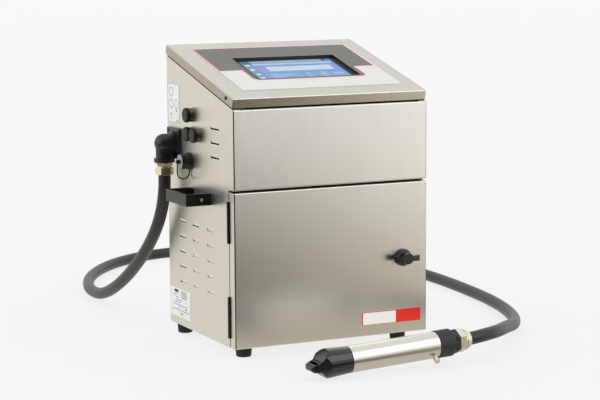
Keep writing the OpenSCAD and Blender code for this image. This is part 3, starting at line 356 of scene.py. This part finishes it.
def metal(name, along, light, dark, roughness, anisotropic=0.0, clouds=5.0, relief=0.12):
    """A worked metal: fine lines along one way, and broad faint clouds from handling and polishing.
    Brush lines are about 0.1 mm apart on the real one; they are drawn 1.5 mm apart so that they show."""
    m, tree, shader = new_material(name, Metallic=1.0, Anisotropic=anisotropic)
    coords = add(tree, "TexCoord")
    stretch = add(tree, "Mapping", Vector=coords.outputs["Object"], Scale=along)
    lines = add(tree, "TexNoise", Vector=stretch.outputs["Vector"], Scale=1.0, Detail=4.0, Roughness=0.7)
    cloud = add(tree, "TexNoise", Vector=coords.outputs["Object"], Scale=clouds, Detail=3.0)
    both = add(tree, "Mix", {"data_type": "FLOAT"}, Factor=0.25, _2=lines.outputs["Fac"], _3=cloud.outputs["Fac"])
    tone = add(tree, "ValToRGB", stops=((0.3, colour(dark)), (0.7, colour(light))), Fac=both.outputs[0])
    rough = add(tree, "MapRange", Value=both.outputs[0], From_Min=0.3, From_Max=0.7,
                To_Min=roughness + 0.05, To_Max=roughness - 0.04)
    bump = add(tree, "Bump", Strength=relief, Distance=0.0002, Height=lines.outputs["Fac"])
    connect(tree, shader, Base_Color=tone.outputs["Color"], Roughness=rough.outputs[0],
            Normal=bump.outputs["Normal"])
    return m


# 304 sheet, belt brushed: warm pale grey, with soft reflections drawn out across the grain.
cabinet_steel = metal("brushed_304_stainless", (900, 900, 9), "e8e6e1", "dfddd7", 0.32, 0.4, 4.0, 0.008)
for source in ("base_pan", "rear_panel", "front_frame", "compartment_shelf"):
    dress(source, "cabinet", cabinet_steel, 0.0004)


def refinish(o, material, holds):
    """Gives the faces whose middle, in metres in the CAD frame, holds to a test another finish."""
    o.data.materials.append(material)
    for face in o.data.polygons:
        if holds(face.center, face.normal):
            face.material_index = len(o.data.materials) - 1


def on_bend(at, out):
    """Whether a face is on an upright bend at the front, by where it faces."""
    return 0.28 < abs(out.x) < 0.93 and out.y < -0.3


def on_louvre(at, out):
    """Whether a face of a side panel leans out of it, between the lowest and the highest louvre."""
    return 0.4 < abs(out.x) < 0.99 and abs(out.y) < 0.3 and 0.09 < at.z < 0.4


# The outside of the upright bends is painted dark: painted shade, standing in for the dark reflection that a
# rounded front bend shows.
painted_dark_bend_steel = metal("painted_shade_304_bend", (300, 300, 9), "6f675b", "5c554b", 0.3, 0.0, 6.0, 0.01)
refinish(dress("upper_front_panel", "cabinet", cabinet_steel, 0.0004), painted_dark_bend_steel, on_bend)
# The louvres' leaning faces are painted paler than the sheet round them, a painted light that lifts the shade in
# them; their finish is also duller and unbrushed.
painted_pale_louvre_steel = metal("painted_pale_louvre_304", (60, 60, 60), "f4f2ec", "e6e3db", 0.62, 0.0, 40.0, 0.02)
for source in ("left_side_panel", "right_side_panel"):
    refinish(dress(source, "cabinet", cabinet_steel, 0.00025), painted_pale_louvre_steel, on_louvre)


# ---- Feet ----
# Four tapered nitrile rubber feet, 28 mm across at the top, each screwed up into the base pan with a
# zinc-plated screw in its recess.
def moulded(name, dark, light, roughness, grain=0.4, relief=0.05, patch=30.0, **constants):
    """A moulded or sprayed surface: a fine tooth of the grain's size in millimetres, and faint tone patches."""
    m, tree, shader = new_material(name, **constants)
    coords = add(tree, "TexCoord")
    patches = add(tree, "TexNoise", Vector=coords.outputs["Object"], Scale=patch, Detail=4.0, Roughness=0.6)
    tone = add(tree, "ValToRGB", stops=((0.35, colour(dark)), (0.7, colour(light))), Fac=patches.outputs["Fac"])
    tooth = add(tree, "TexNoise", Vector=coords.outputs["Object"], Scale=1000.0 / grain, Detail=2.0)
    rough = add(tree, "MapRange", Value=patches.outputs["Fac"], From_Min=0.3, From_Max=0.7,
                To_Min=roughness - 0.05, To_Max=roughness + 0.05)
    bump = add(tree, "Bump", Strength=0.4, Distance=relief / 1000.0, Height=tooth.outputs["Fac"])
    connect(tree, shader, Base_Color=tone.outputs["Color"], Roughness=rough.outputs[0],
            Normal=bump.outputs["Normal"])
    return m


# Moulded nitrile rubber: matt, near black, in faint tone patches.
foot_rubber = moulded("moulded_nitrile_rubber", "100f0f", "1e1d1c", 0.6, 0.8, 0.05, Specular_IOR_Level=0.35)
dress("rubber_feet", "cabinet", foot_rubber, 0.0006)
# Zinc-plated steel: bluish grey, bright, with a slightly cloudy plate.
zinc_plate = metal("zinc_plated_steel", (60, 60, 60), "d4d5d6", "b3b6ba", 0.3, 0.0, 60.0)
dress("foot_screws", "cabinet", zinc_plate, 0.00025)

# ---- Door ----
# A pan of folded stainless sheet with a foam gasket behind it, hung at the left on two pinned hinges of
# black steel and held at the right by a moulded quarter-turn knob with a steel tongue.
# The door's upright bends are painted dark too: painted shade for the reflection in the bend.
refinish(dress("door_panel", "door", cabinet_steel, 0.0006), painted_dark_bend_steel, on_bend)
# Closed-cell neoprene foam: dull black with a fine open skin.
gasket_foam = moulded("closed_cell_neoprene_foam", "070707", "0e0d0d", 0.9, 0.7, 0.12, Specular_IOR_Level=0.2)
dress("door_gasket", "cabinet", gasket_foam, 0.0005)
# Powder coat on steel: near black, satin, with the faint orange peel of baked powder.
powder_coat = moulded("black_powder_coat", "080809", "121213", 0.32, 1.2, 0.05, 40.0, IOR=1.5,
                      Specular_IOR_Level=0.45)
for source, body in (("door_hinge_leaves", "door"), ("cabinet_hinge_leaves", "cabinet"),
                     ("hinge_pins", "cabinet")):
    dress(source, body, powder_coat, 0.0003)
# Glass-filled nylon: black, with a low broad gloss and a fine spark-eroded tooth.
nylon = moulded("black_glass_filled_nylon", "151516", "202021", 0.27, 0.5, 0.04, 60.0, IOR=1.53)
dress("latch_knob", "latch", nylon, 0.0007, 3)
dress("latch_cam", "latch", zinc_plate, 0.0003)

# ---- Lid ----
# A shallow stainless pan that slopes up to the rear hinges, on a foam gasket, with a screw in each side.
lid_steel = metal("brushed_304_stainless_lid", (900, 12, 12), "deded6", "ccc7be", 0.28, 0.0, 4.0, 0.012)
lid_panel = dress("lid_panel", "lid", lid_steel, 0.0008, 3)
# Its front lip and its left flank are painted a little darker: painted shade, as lit and shaded copies of the lid's
# steel, chosen by the way each face looks.
painted_shade_lid_front_steel = metal("painted_shade_304_lid_front", (500, 500, 20), "dcdad3", "c8c4bb", 0.3, 0.0, 6.0, 0.02)
painted_shade_lid_flank_steel = metal("painted_shade_304_lid_flank", (500, 500, 20), "c0baae", "aba599", 0.3, 0.0, 6.0, 0.02)
facing = 0.93
refinish(lid_panel, painted_shade_lid_front_steel, lambda at, out: out.y < -facing)
refinish(lid_panel, painted_shade_lid_flank_steel, lambda at, out: out.x < -facing)
dress("lid_gasket", "cabinet", gasket_foam, 0.0004)
# Black-oxide steel: dull blue-black, faintly brown where it has been handled.
black_oxide = metal("black_oxide_steel", (60, 60, 60), "4a4744", "2a2725", 0.4, 0.0, 60.0)
dress("lid_screws", "lid", black_oxide, 0.0003)
dress("lid_hinge_leaves", "lid", zinc_plate, 0.0003)
dress("rear_hinge_leaves", "cabinet", zinc_plate, 0.0003)

# ---- Display and keypad overlay ----
# A screen-printed polyester overlay stuck to the lid, round a plastic surround that frames a lit touch
# display on its circuit board.
front_y, lid_front_z, lid_slope = -137.5, 420.0, math.radians(14.7)
lid_axes = Matrix.Translation(place(0, front_y, lid_front_z)) @ Matrix.Rotation(lid_slope, 4, "X")
# Printed polyester film: cool white, very smooth, with a faint satin tooth.
overlay_film = moulded("screen_printed_polyester", "dfdfdc", "e6e6e3", 0.38, 0.5, 0.01, 12.0, IOR=1.57)
overlay = dress("keypad_overlay", "lid", overlay_film, 0.0001)
bezel_plastic = moulded("warm_grey_moulded_abs", "17140f", "211d18", 0.4, 0.5, 0.03, 40.0, IOR=1.53)
dress("display_bezel", "lid", bezel_plastic, 0.0003)


def cut_sheet(name, outlines, carrier, thickness, edge=0.0):
    """A flat piece with a thickness in millimetres, cut to outlines in the carrier's own axes, holes too."""
    bpy.ops.object.select_all(action="DESELECT")
    data = bpy.data.curves.new(name, "CURVE")
    data.dimensions = "2D"
    data.fill_mode = "BOTH"
    data.extrude = thickness / 2000 - edge / 1000
    data.bevel_depth = edge / 1000
    data.bevel_resolution = 1
    data.offset = -edge / 1000
    for outline in outlines:
        spline = data.splines.new("POLY")
        spline.points.add(len(outline) - 1)
        for point, at in zip(spline.points, outline):
            point.co = (at[0] / 1000, at[1] / 1000, 0, 1)
        spline.use_cyclic_u = True
    o = bpy.data.objects.new(name, data)
    bpy.context.scene.collection.objects.link(o)
    bpy.context.view_layer.objects.active = o
    o.select_set(True)
    bpy.ops.object.convert(target="MESH")
    o = bpy.context.object
    bpy.ops.object.mode_set(mode="EDIT")
    bpy.ops.mesh.select_all(action="SELECT")
    bpy.ops.mesh.remove_doubles(threshold=0.000002)
    bpy.ops.mesh.normals_make_consistent(inside=False)
    bpy.ops.object.mode_set(mode="OBJECT")
    o.matrix_world = carrier @ Matrix.Translation((0, 0, thickness / 2000))
    bpy.ops.object.transform_apply()
    even_shading(o)
    return o


def rounded_outline(x, y, w, h, r, steps=4):
    """The outline of a rounded rectangle about a middle."""
    points = []
    for cx, cy, start in ((w / 2 - r, h / 2 - r, 0), (-w / 2 + r, h / 2 - r, 90), (-w / 2 + r, -h / 2 + r, 180),
                          (w / 2 - r, -h / 2 + r, 270)):
        for k in range(steps + 1):
            a = math.radians(start + 90 * k / steps)
            points.append((x + cx + r * math.cos(a), y + cy + r * math.sin(a)))
    return points


def fit(o, body, material):
    """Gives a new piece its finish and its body."""
    o.data.materials.append(material)
    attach(o, body)
    return o


def lift(carrier, height):
    """The carrier's axes, moved out of its face by a height in millimetres."""
    return carrier @ Matrix.Translation((0, 0, height / 1000))


# The print: a mid-grey field with a fine red rim, dipping round the display; the rest stays white.
grey_ink = moulded("grey_screen_ink", "615f5a", "6d6b65", 0.42, 0.5, 0.01, 12.0, IOR=1.5)
red_ink = moulded("red_screen_ink", "dd5c58", "e67a75", 0.42, 0.5, 0.01, 12.0, IOR=1.5)
display_hole = [(-93.2, 86.8), (99.2, 86.8), (99.2, 199.2), (-93.2, 199.2)]


def spot(name, carrier):
    """Where the ray through an image point meets a finished piece, or the place on it nearest the ray."""
    start, way = sight(*image_points[name])
    skin = BVHTree.FromPolygons([v.co for v in carrier.data.vertices], [f.vertices for f in carrier.data.polygons])
    met = skin.ray_cast(start, way)[0]
    if met is None:
        near = [skin.find_nearest(start + way * (2.5 + 0.004 * k))[0] for k in range(400)]
        met = min(near, key=lambda at: (at - start).cross(way).length)
    return met


def on_sight(name, carrier, axes, x, y):
    """The carrier's axes, slid over its face until their place x, y in millimetres is at an image point."""
    return Matrix.Translation(spot(name, carrier) - axes @ Vector((x / 1000, y / 1000, 0))) @ axes


def field_outline(grow):
    """The grey field's outline up the lid, or one that stands out from it by grow."""
    g = grow
    return [(-139 - g, 249 + g), (-139 - g, 135.5 - g), (-98.5 - g, 135.5 - g), (-98.5 - g, 93 - g * 0.4),
            (-96.5 - g * 0.9, 88 - g * 0.7), (-91 - g * 0.4, 84 - g), (98 + g * 0.4, 84 - g),
            (102.5 + g * 0.9, 87 - g * 0.7), (104.5 + g, 92 - g * 0.4), (104.5 + g, 134.5 - g),
            (142 + g, 134.5 - g), (142 + g, 249 + g)]


# A fine grey line runs round the film just inside its cut edge: painted shade, standing in for the shadow along the
# film's cut edge.
painted_shade_edge_ink = moulded("painted_shade_edge_grey", "a9a8a4", "b8b7b3", 0.45, 0.5, 0.01, 12.0, IOR=1.5)
film_x, film_y, film_t = 3, 144.75, 0.5
fit(cut_sheet("overlay_painted_shade_line", [rounded_outline(film_x, film_y, 291.6, 220.1, 3.8),
                                    rounded_outline(film_x, film_y, 289.8, 218.3, 3)],
              lift(lid_axes, film_t), 0.05), "lid", painted_shade_edge_ink)
print_axes = on_sight("printed_dip", overlay, lid_axes, 0.5, 83.2)
fit(cut_sheet("overlay_red_rim", [field_outline(2.0), field_outline(-0.2)], print_axes, 0.06),
    "lid", red_ink)
fit(cut_sheet("overlay_grey_field", [field_outline(0), display_hole], print_axes, 0.1), "lid", grey_ink)


def lit(name, code, strength=0.92):
    """A patch of the lit display: a liquid crystal behind a hard-coated window, glowing evenly."""
    m, tree, shader = new_material(name, Base_Color=colour("101418"), Roughness=0.22, IOR=1.5,
                                   Emission_Strength=strength)
    coords = add(tree, "TexCoord")
    glow = add(tree, "TexNoise", Vector=coords.outputs["Object"], Scale=60.0, Detail=3.0)
    full = colour(code)
    dim = [c * 0.86 for c in full[:3]] + [1.0]
    tone = add(tree, "ValToRGB", stops=((0.3, dim), (0.7, full)), Fac=glow.outputs["Fac"])
    connect(tree, shader, Emission_Color=tone.outputs["Color"])
    return m


def bars(*spans):
    """Rectangles given as x from, x to, y from, y to."""
    return [[(a, c), (b, c), (b, d), (a, d)] for a, b, c, d in spans]


screen = dress("display_screen", "lid", lit("lcd_backlight", "6984ce", 0.5), 0.0002)
screen_axes = on_sight("message_strip", screen, lid_axes, 14.5, 151.75)
for name, code, height, spans in (
        ("field", "6984ce", 0.04, [(-81.5, 89.5, 97, 193.5)]),
        ("menu_column", "4c86b2", 0.08, [(-81.5, -64, 97, 193.5)]),
        ("title_bar", "a5bcc8", 0.08, [(-62, 71, 184, 193.5)]),
        ("status_line", "a4c0e2", 0.08, [(-62, 84, 172, 182)]),
        ("corner_key", "629cd6", 0.08, [(78, 89.5, 184, 193.5)]),
        ("message_strip", "b7d0e0", 0.08, [(-45, 74, 140.5, 163)]),
        ("lower_keys", "5894cb", 0.08, [(-61, 4, 97, 130), (6.4, 26.8, 97, 130), (29.4, 54.8, 97, 130),
                                        (57.4, 89.5, 97, 130)]),
        ("dark_rules", "4a6cc0", 0.08, [(-63.4, -62.6, 97, 182), (-61, 89.5, 131, 132.6), (4.6, 5.8, 97, 130),
                                        (27.4, 28.8, 97, 130), (55.4, 56.8, 97, 130), (-62, 84, 168, 169.5),
                                        (72, 77, 186, 193.5)]),
        ("menu_marks", "d9ecf5", 0.12, [(-77, -69, 170, 176), (-77, -70, 147, 154), (-76, -69, 124, 130),
                                        (-77, -69, 106, 111)]),
        ("strip_marks", "b3c9d2", 0.12, [(-40 + 6.4 * k, -37.6 + 6.4 * k, 145, 158) for k in range(11)]),
        ("level_marks", "74c9ae", 0.12, [(15, 17.6, 99, 129), (43.5, 46.2, 99, 129)]),
        ("key_marks", "8cbdf2", 0.12, [(-52, -12, 120, 123), (-52, -26, 110, 113), (62, 82, 118, 121)])):
    fit(cut_sheet("screen_" + name, bars(*spans), lift(screen_axes, height - 0.04), 0.04), "lid",
        lit("lcd_" + name, code))
# Glass-epoxy board: green solder mask over copper tracks, with black moulded chips.
solder_mask = moulded("green_solder_mask", "10452a", "1d6a3f", 0.3, 1.5, 0.03, 160.0, IOR=1.5)
chip_epoxy = moulded("black_moulded_epoxy", "161617", "262627", 0.5, 0.5, 0.03, 60.0)
nylon_white = moulded("natural_nylon_connector", "c9c6ba", "dad7cc", 0.45, 0.6, 0.03, 40.0)
board = dress("display_board", "lid", solder_mask, 0.0002)
board_under = -0.0127
refinish(board, chip_epoxy, lambda at, out: (lid_axes.inverted() @ at).z < board_under)

# ---- Labels on the left side ----
# Two stuck-on foil labels: a legend for the sockets, and a rating plate with ruled rows. They bear generic
# marks only.
side_axes = Matrix((Vector((0, -1, 0)), Vector((0, 0, 1)), Vector((-1, 0, 0)))).transposed().to_4x4()
side_axes = Matrix.Translation(place(-175, 0, 0)) @ side_axes
# Printed polyester foil: bright, faintly blue white, satin.
label_foil = moulded("white_polyester_foil", "dfe1e6", "edeef1", 0.4, 0.6, 0.01, 20.0, IOR=1.55)
black_ink = moulded("black_label_ink", "232326", "343438", 0.5, 0.6, 0.01, 40.0)
pale_ink = moulded("grey_label_ink", "b4b8bf", "c6cad0", 0.5, 0.6, 0.01, 40.0)
legend_label = dress("legend_label", "cabinet", label_foil, 0.0001)
rating_plate = dress("rating_plate", "cabinet", label_foil, 0.0001)


def circle_outline(x, y, r, sides=28):
    """The outline of a circle about a middle."""
    turns = [2 * math.pi * k / sides for k in range(sides)]
    return [(x + r * math.cos(a), y + r * math.sin(a)) for a in turns]


legend = [rounded_outline(-108, 395, 48.6, 65.6, 3.4), rounded_outline(-108, 395, 47.4, 64.4, 2.8)]
for x, y in ((-117.9, 413.6), (-118.3, 393.4), (-96.3, 393.2)):
    legend += [circle_outline(x, y, 7.9), circle_outline(x, y, 7.0)]
legend += bars((-98.5, -93.5, 381, 383.4), (-94.5, -90.5, 364, 367), (-123, -115.6, 376, 377.2),
               (-119.9, -118.7, 370.6, 375.6), (-121.6, -117, 368, 369.2))
legend_axes = on_sight("legend", legend_label, side_axes, -108, 395)
rating_axes = on_sight("rating_marks", rating_plate, side_axes, -91, 55)
fit(cut_sheet("legend_marks", legend, legend_axes, 0.05), "cabinet", black_ink)
fit(cut_sheet("rating_block", bars((-116, -99, 71.5, 76.6)), rating_axes, 0.05), "cabinet", black_ink)
fit(cut_sheet("rating_square", bars((-88, -62, 66.8, 77.4)), rating_axes, 0.05), "cabinet", pale_ink)
rule_h = 0.9
rows = [(-86, -64, 64.2, 65.4)]
for left, right, low in ((-118, -104, 67.6), (-116, -98, 63.2), (-112, -82, 58.8), (-118, -92, 54.6),
                         (-126, -60, 50.2), (-100, -92, 45.8), (-124, -52, 41.6), (-92, -78, 37.0),
                         (-90, -80, 34.6)):
    rows.append((left, right, low, low + rule_h))
rows += [(-70, -62, 45.6, 47.2), (-128.6, -126.8, 38, 39.6), (-127.8, -126.4, 42.6, 44.2)]
fit(cut_sheet("rating_rows", bars(*rows), rating_axes, 0.05), "cabinet", black_ink)
red_marks = bars((-129.6, -127.6, 71.6, 73.4), (-129, -127, 63, 64.8), (-128.8, -126.8, 54.4, 56.2))
fit(cut_sheet("rating_red_marks", red_marks, rating_axes, 0.05), "cabinet", red_ink)

# ---- Badge on the door ----
# A cast acrylic plate with a thin red border: a printed white field on it, and a plain red end.
door_axes = Matrix.Translation(place(0, front_y, 0)) @ Matrix.Rotation(math.pi / 2, 4, "X")
badge_white = moulded("white_cast_acrylic", "eeeeea", "f6f6f3", 0.22, 0.6, 0.005, 20.0, IOR=1.49)
badge_red = moulded("red_cast_acrylic", "e0201c", "ee2f29", 0.24, 0.6, 0.005, 20.0, IOR=1.49)
badge_plate = dress("badge_plate", "door", badge_red, 0.0003)
badge_axes = on_sight("badge_field", badge_plate, door_axes, 85.6, 46)
fit(cut_sheet("badge_white_field", [rounded_outline(85.6, 46, 61.6, 19.7, 1.5)], badge_axes, 0.08),
    "door", badge_white)

# ---- Umbilical outlet ----
# A square black nylon flange held by four screws, a swivel elbow pushed over it, and a two-part brass
# gland that grips the hose.
dress("outlet_plate", "cabinet", nylon, 0.0008, 3)
dress("outlet_elbow", "cabinet", nylon, 0.0007, 3)
# Brass, turned and then dulled by handling: tan, with soft turning marks.
turned_brass = metal("turned_dull_brass", (30, 30, 900), "fff3df", "ead8be", 0.24, 0.0, 60.0)
dress("outlet_gland", "cabinet", turned_brass, 0.0006)
# Its screws are black; the bracket's, lower down, are zinc plated.
fitting_screws = dress("fitting_screws", "cabinet", zinc_plate, 0.00025)
bracket_screws_below = 0.3
refinish(fitting_screws, black_oxide, lambda at, out: at.z > bracket_screws_below)

# ---- Sockets and their caps ----
# Three fluid sockets of turned brass, each with two rings, under press-on domed caps; and a round data
# connector whose bayonet cap hangs on a moulded lanyard.
socket_brass = metal("bronzed_brass", (30, 600, 600), "93806f", "584c42", 0.22, 0.0, 60.0)
dress("port_sockets", "cabinet", socket_brass, 0.0004)
# Moulded elastomer: black, satin, soft at every edge.
cap_rubber = moulded("moulded_elastomer_cap", "080808", "11100f", 0.4, 0.6, 0.05, 50.0, IOR=1.5,
                     Specular_IOR_Level=0.3)
# The same rubber, painted paler on the caps' outward faces: painted sheen, standing in for the light those faces
# catch.
painted_sheen_rubber = moulded("painted_sheen_elastomer", "2b2826", "3d3935", 0.6, 0.8, 0.05, 90.0, IOR=1.5,
                      Specular_IOR_Level=0.3)
outward = 0.965
for side in ("upper", "front", "back"):
    cap = dress("port_cap_" + side, "cap_" + side, cap_rubber, 0)
    refinish(cap, painted_sheen_rubber, lambda at, out: out.x < -outward)
dress("data_port", "cabinet", nylon, 0.0005)
# The connector cap's face is a grey moulded disc.
cap_face = moulded("grey_moulded_nylon", "8d9096", "a3a6ab", 0.4, 0.6, 0.03, 50.0, IOR=1.53)
data_cap = dress("data_cap", "connector_cap", nylon, 0.0005)
disc_from, disc_to = -0.1737, -0.1725
refinish(data_cap, cap_face, lambda at, out: out.x < -0.9 and disc_from < at.x < disc_to)
dress("cap_tether", "cabinet", foot_rubber, 0)

# ---- Side bracket ----
# A strap of black powder-coated steel bent into a square hoop, to hang the coiled umbilical on.
dress("side_bracket", "cabinet", powder_coat, 0.0009, 3)

# ---- Ink compartment ----
# Behind the door: a translucent ink tank with a pump and a bank of valves, and two bottles that stand in
# a moulded cradle, with nylon tubes that run up to the outlet.
# Natural polyethylene: milky and waxy, with light going a little way in. The tank's lid is black nylon.
tank_skin = moulded("natural_polyethylene", "c9c4b4", "dcd8ca", 0.42, 1.5, 0.06, 18.0, IOR=1.51,
                    Subsurface_Weight=0.2, Subsurface_Scale=0.01)
tank = dress("ink_tank", "cabinet", tank_skin, 0.0012, 3)
tank_lid_z = 0.1405
refinish(tank, nylon, lambda at, out: at.z > tank_lid_z)
# Sprayed enamel on the motor's can: grey, half gloss.
enamel = moulded("grey_motor_enamel", "3a3f45", "4b5158", 0.35, 1.6, 0.05, 30.0, IOR=1.5)
pump = dress("pump_motor", "cabinet", enamel, 0.0008, 3)
# Machined aluminium: pale, finely lined by the cutter.
aluminium = metal("milled_aluminium", (800, 30, 30), "dcdddf", "bcbec2", 0.32, 0.0, 50.0)
motor_foot_z, pump_head_z = 0.026, 0.1025
refinish(pump, aluminium, lambda at, out: at.z < motor_foot_z or at.z > pump_head_z)
manifold = dress("valve_manifold", "cabinet", aluminium, 0.0006)
coil_z, barb_z = 0.1902, 0.1598
refinish(manifold, nylon, lambda at, out: at.z > coil_z)
refinish(manifold, turned_brass, lambda at, out: at.z < barb_z)
cradle_plastic = moulded("grey_moulded_polypropylene", "2a2c30", "3a3d42", 0.5, 0.8, 0.06)
dress("cartridge_cradle", "cabinet", cradle_plastic, 0.0008)
# Blow-moulded polyethylene bottles: a soft skin with faint flow clouds; the ink's is dark, the make-up's pale.
dark_bottle = moulded("dark_blown_polyethylene", "1e1e21", "2d2d31", 0.4, 1.6, 0.08, 16.0, IOR=1.51)
pale_bottle = moulded("pale_blown_polyethylene", "cfd4d8", "e1e5e8", 0.38, 1.6, 0.08, 16.0, IOR=1.51,
                      Subsurface_Weight=0.2, Subsurface_Scale=0.01)
screw_cap = moulded("blue_moulded_polypropylene", "24508e", "2f62a8", 0.4, 0.6, 0.05, 40.0, IOR=1.49)
neck_z = 0.1732
for source, body, slot, skin, lid_skin in (
        ("ink_cartridge", "ink_bottle", "bottle_dark", dark_bottle, cap_rubber),
        ("makeup_cartridge", "makeup_bottle", "bottle_light", pale_bottle, screw_cap)):
    bottle = dress(source, body, skin, 0.0015, 3)
    refinish(bottle, lid_skin, lambda at, out: at.z > neck_z)
dress("bulkhead_tubes", "cabinet", foot_rubber, 0)

# ---- Electronics bay ----
# Above the shelf: the main board on its posts, and the power supply in a pierced zinc-plated case.
main_board = dress("main_board", "cabinet", solder_mask, 0.0003)
post_z, chip_z, chip_top_z, plug_z = 0.2805, 0.2837, 0.2867, 0.2868
refinish(main_board, chip_epoxy, lambda at, out: chip_z < at.z < chip_top_z)
refinish(main_board, nylon_white, lambda at, out: at.z > plug_z)
refinish(main_board, turned_brass, lambda at, out: at.z < post_z)
dress("power_supply", "cabinet", zinc_plate, 0.0005)

# ---- Rear fittings ----
# In the back panel: an axial fan with its wire guard, and a mains inlet beside a rocker switch.
# Moulded thermoplastic polyester: black, matt, with a fine spark-eroded tooth.
pbt = moulded("black_moulded_pbt", "141416", "202023", 0.45, 0.5, 0.04, 50.0, IOR=1.55)
dress("cooling_fan", "cabinet", pbt, 0.0003)
dress("fan_blades", "fan_rotor", pbt, 0.0003)
dress("mains_inlet", "cabinet", pbt, 0.0004)
dress("power_rocker", "rocker", nylon, 0.0006, 3)

# ---- Printhead ----
# A stainless tube that slides off as a cover, with a polished black nose at its front, held by a thumbscrew
# to a rear plug with its collar and gland; the optics and nozzle sit on an aluminium chassis inside.
# Drawn 304 tube, centreless polished: brighter than the sheet, with bands of light along it.
tube_steel = metal("polished_304_tube", (30, 700, 700), "e8e5de", "dad7cf", 0.22, 0.0, 18.0, 0.03)
dress("head_tube", "head_cover", tube_steel, 0.0004)
# Glossy black acetal: deep black with a sharp highlight.
acetal = moulded("polished_black_acetal", "0b0a0a", "14110f", 0.16, 1.0, 0.01, 30.0, IOR=1.5, Coat_Weight=0.5,
                 Coat_Roughness=0.08)
# Its moulded corners run into each other, so its skin is remeshed and rubbed smooth.
nose = softened("head_nose", 0)
nose.modifiers.new("skin", "REMESH").voxel_size = 0.0007
rubbed = nose.modifiers.new("rubbed", "SMOOTH")
rubbed.factor = 0.5
rubbed.iterations = 26
for step in ("skin", "rubbed"):
    bpy.ops.object.modifier_apply(modifier=step)
bpy.ops.object.shade_smooth()
fit(nose, "head_cover", acetal)
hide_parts("head_nose")
# Nickel plate: warm white, satin.
nickel = metal("satin_nickel_plate", (60, 60, 60), "f6f1e6", "e2dccd", 0.32, 0.0, 60.0)
dress("thumbscrew", "head_screw", nickel, 0.0003)
# Moulded polyamide: black, matt.
collar = moulded("matt_black_polyamide", "1c1c1e", "2a2a2c", 0.55, 0.6, 0.05, 60.0, IOR=1.53)
dress("head_collar", "cabinet", collar, 0.0007, 3)
dress("head_gland", "cabinet", nickel, 0.0005)
dress("head_chassis", "cabinet", aluminium, 0.0005)

# ---- Measures for the builder ----
# Nothing of the machine: how large it came out, and how far each thing shows in the picture from its image
# point. What stands behind something else doesn't count.
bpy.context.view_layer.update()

shown = {o.name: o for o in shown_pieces() if o.type == "MESH"}
skin_points, skin_faces = [], []
for o in shown.values():
    first = len(skin_points)
    skin_points += [o.matrix_world @ v.co for v in o.data.vertices]
    skin_faces += [[first + i for i in f.vertices] for f in o.data.polygons]
all_round = BVHTree.FromPolygons(skin_points, skin_faces)
to_camera = camera.matrix_world.inverted()


def in_picture(at):
    """Where a place in the CAD frame falls in the photograph's frame."""
    size = max(image_w, image_h)
    local = to_camera @ at
    far = size * camera_lens / sensor_width / -local.z
    return image_w / 2 + local.x * far - shift_x * size, image_h / 2 - local.y * far + shift_y * size


def shows(at):
    """Whether nothing stands between a place on a finished piece and the camera."""
    way = camera_at - at
    return all_round.ray_cast(at + way.normalized() * 0.0004, way.normalized(), way.length)[0] is None


def seen(*names, holds=lambda at: True):
    """The places of those finished points of some pieces that show."""
    return [v.co.copy() for name in names if name in shown for v in shown[name].data.vertices
            if holds(v.co) and shows(v.co)]


def middle_of(places):
    """The middle of what a set of places spans in the picture."""
    if not places:
        return None
    xs, ys = zip(*[in_picture(at) for at in places])
    return (min(xs) + max(xs)) / 2, (min(ys) + max(ys)) / 2


def corner_of(name, way):
    """The place in the picture of the showing point of a piece that is furthest along a way."""
    places = seen(name)
    return in_picture(max(places, key=lambda at: at.dot(Vector(way)))) if places else None


# The height under which the printed rim is its dip's front edge.
rim_low = (lid_axes @ Vector((0, 0.0845, 0))).z
found = {
    "lid_rear_left": corner_of("lid_panel_finished", (-1, 1, 1)),
    "lid_front_left": corner_of("lid_panel_finished", (-1, -2, 0.3)),
    "lid_front_right": corner_of("lid_panel_finished", (1, -2, 0.3)),
    "door_low_left": corner_of("door_panel_finished", (-1, -3, -3)),
    "door_low_right": corner_of("door_panel_finished", (1, -0.3, -3)),
    "latch_knob": middle_of(seen("latch_knob_finished")),
    "thumbscrew": middle_of(seen("thumbscrew_finished")),
    "upper_cap": middle_of(seen("port_cap_upper_finished")),
    "printed_dip": middle_of(seen("overlay_red_rim", holds=lambda at: at.z < rim_low)),
    "message_strip": middle_of(seen("screen_message_strip")),
    "legend": middle_of(seen("legend_marks")),
    "rating_marks": middle_of(seen("rating_block", "rating_rows", "rating_square", "rating_red_marks")),
    "badge_field": middle_of(seen("badge_white_field"))}
ends = {"left_x": (0, 1), "right_x": (0, -1), "top_y": (1, 1), "bottom_y": (1, -1)}
own = [(in_picture(v.co), v.co) for o in shown.values() if o != umbilical for v in o.data.vertices]
for name, (side, sign) in ends.items():
    first = next((p for p, at in sorted(own, key=lambda e: sign * e[0][side]) if shows(at)), None)
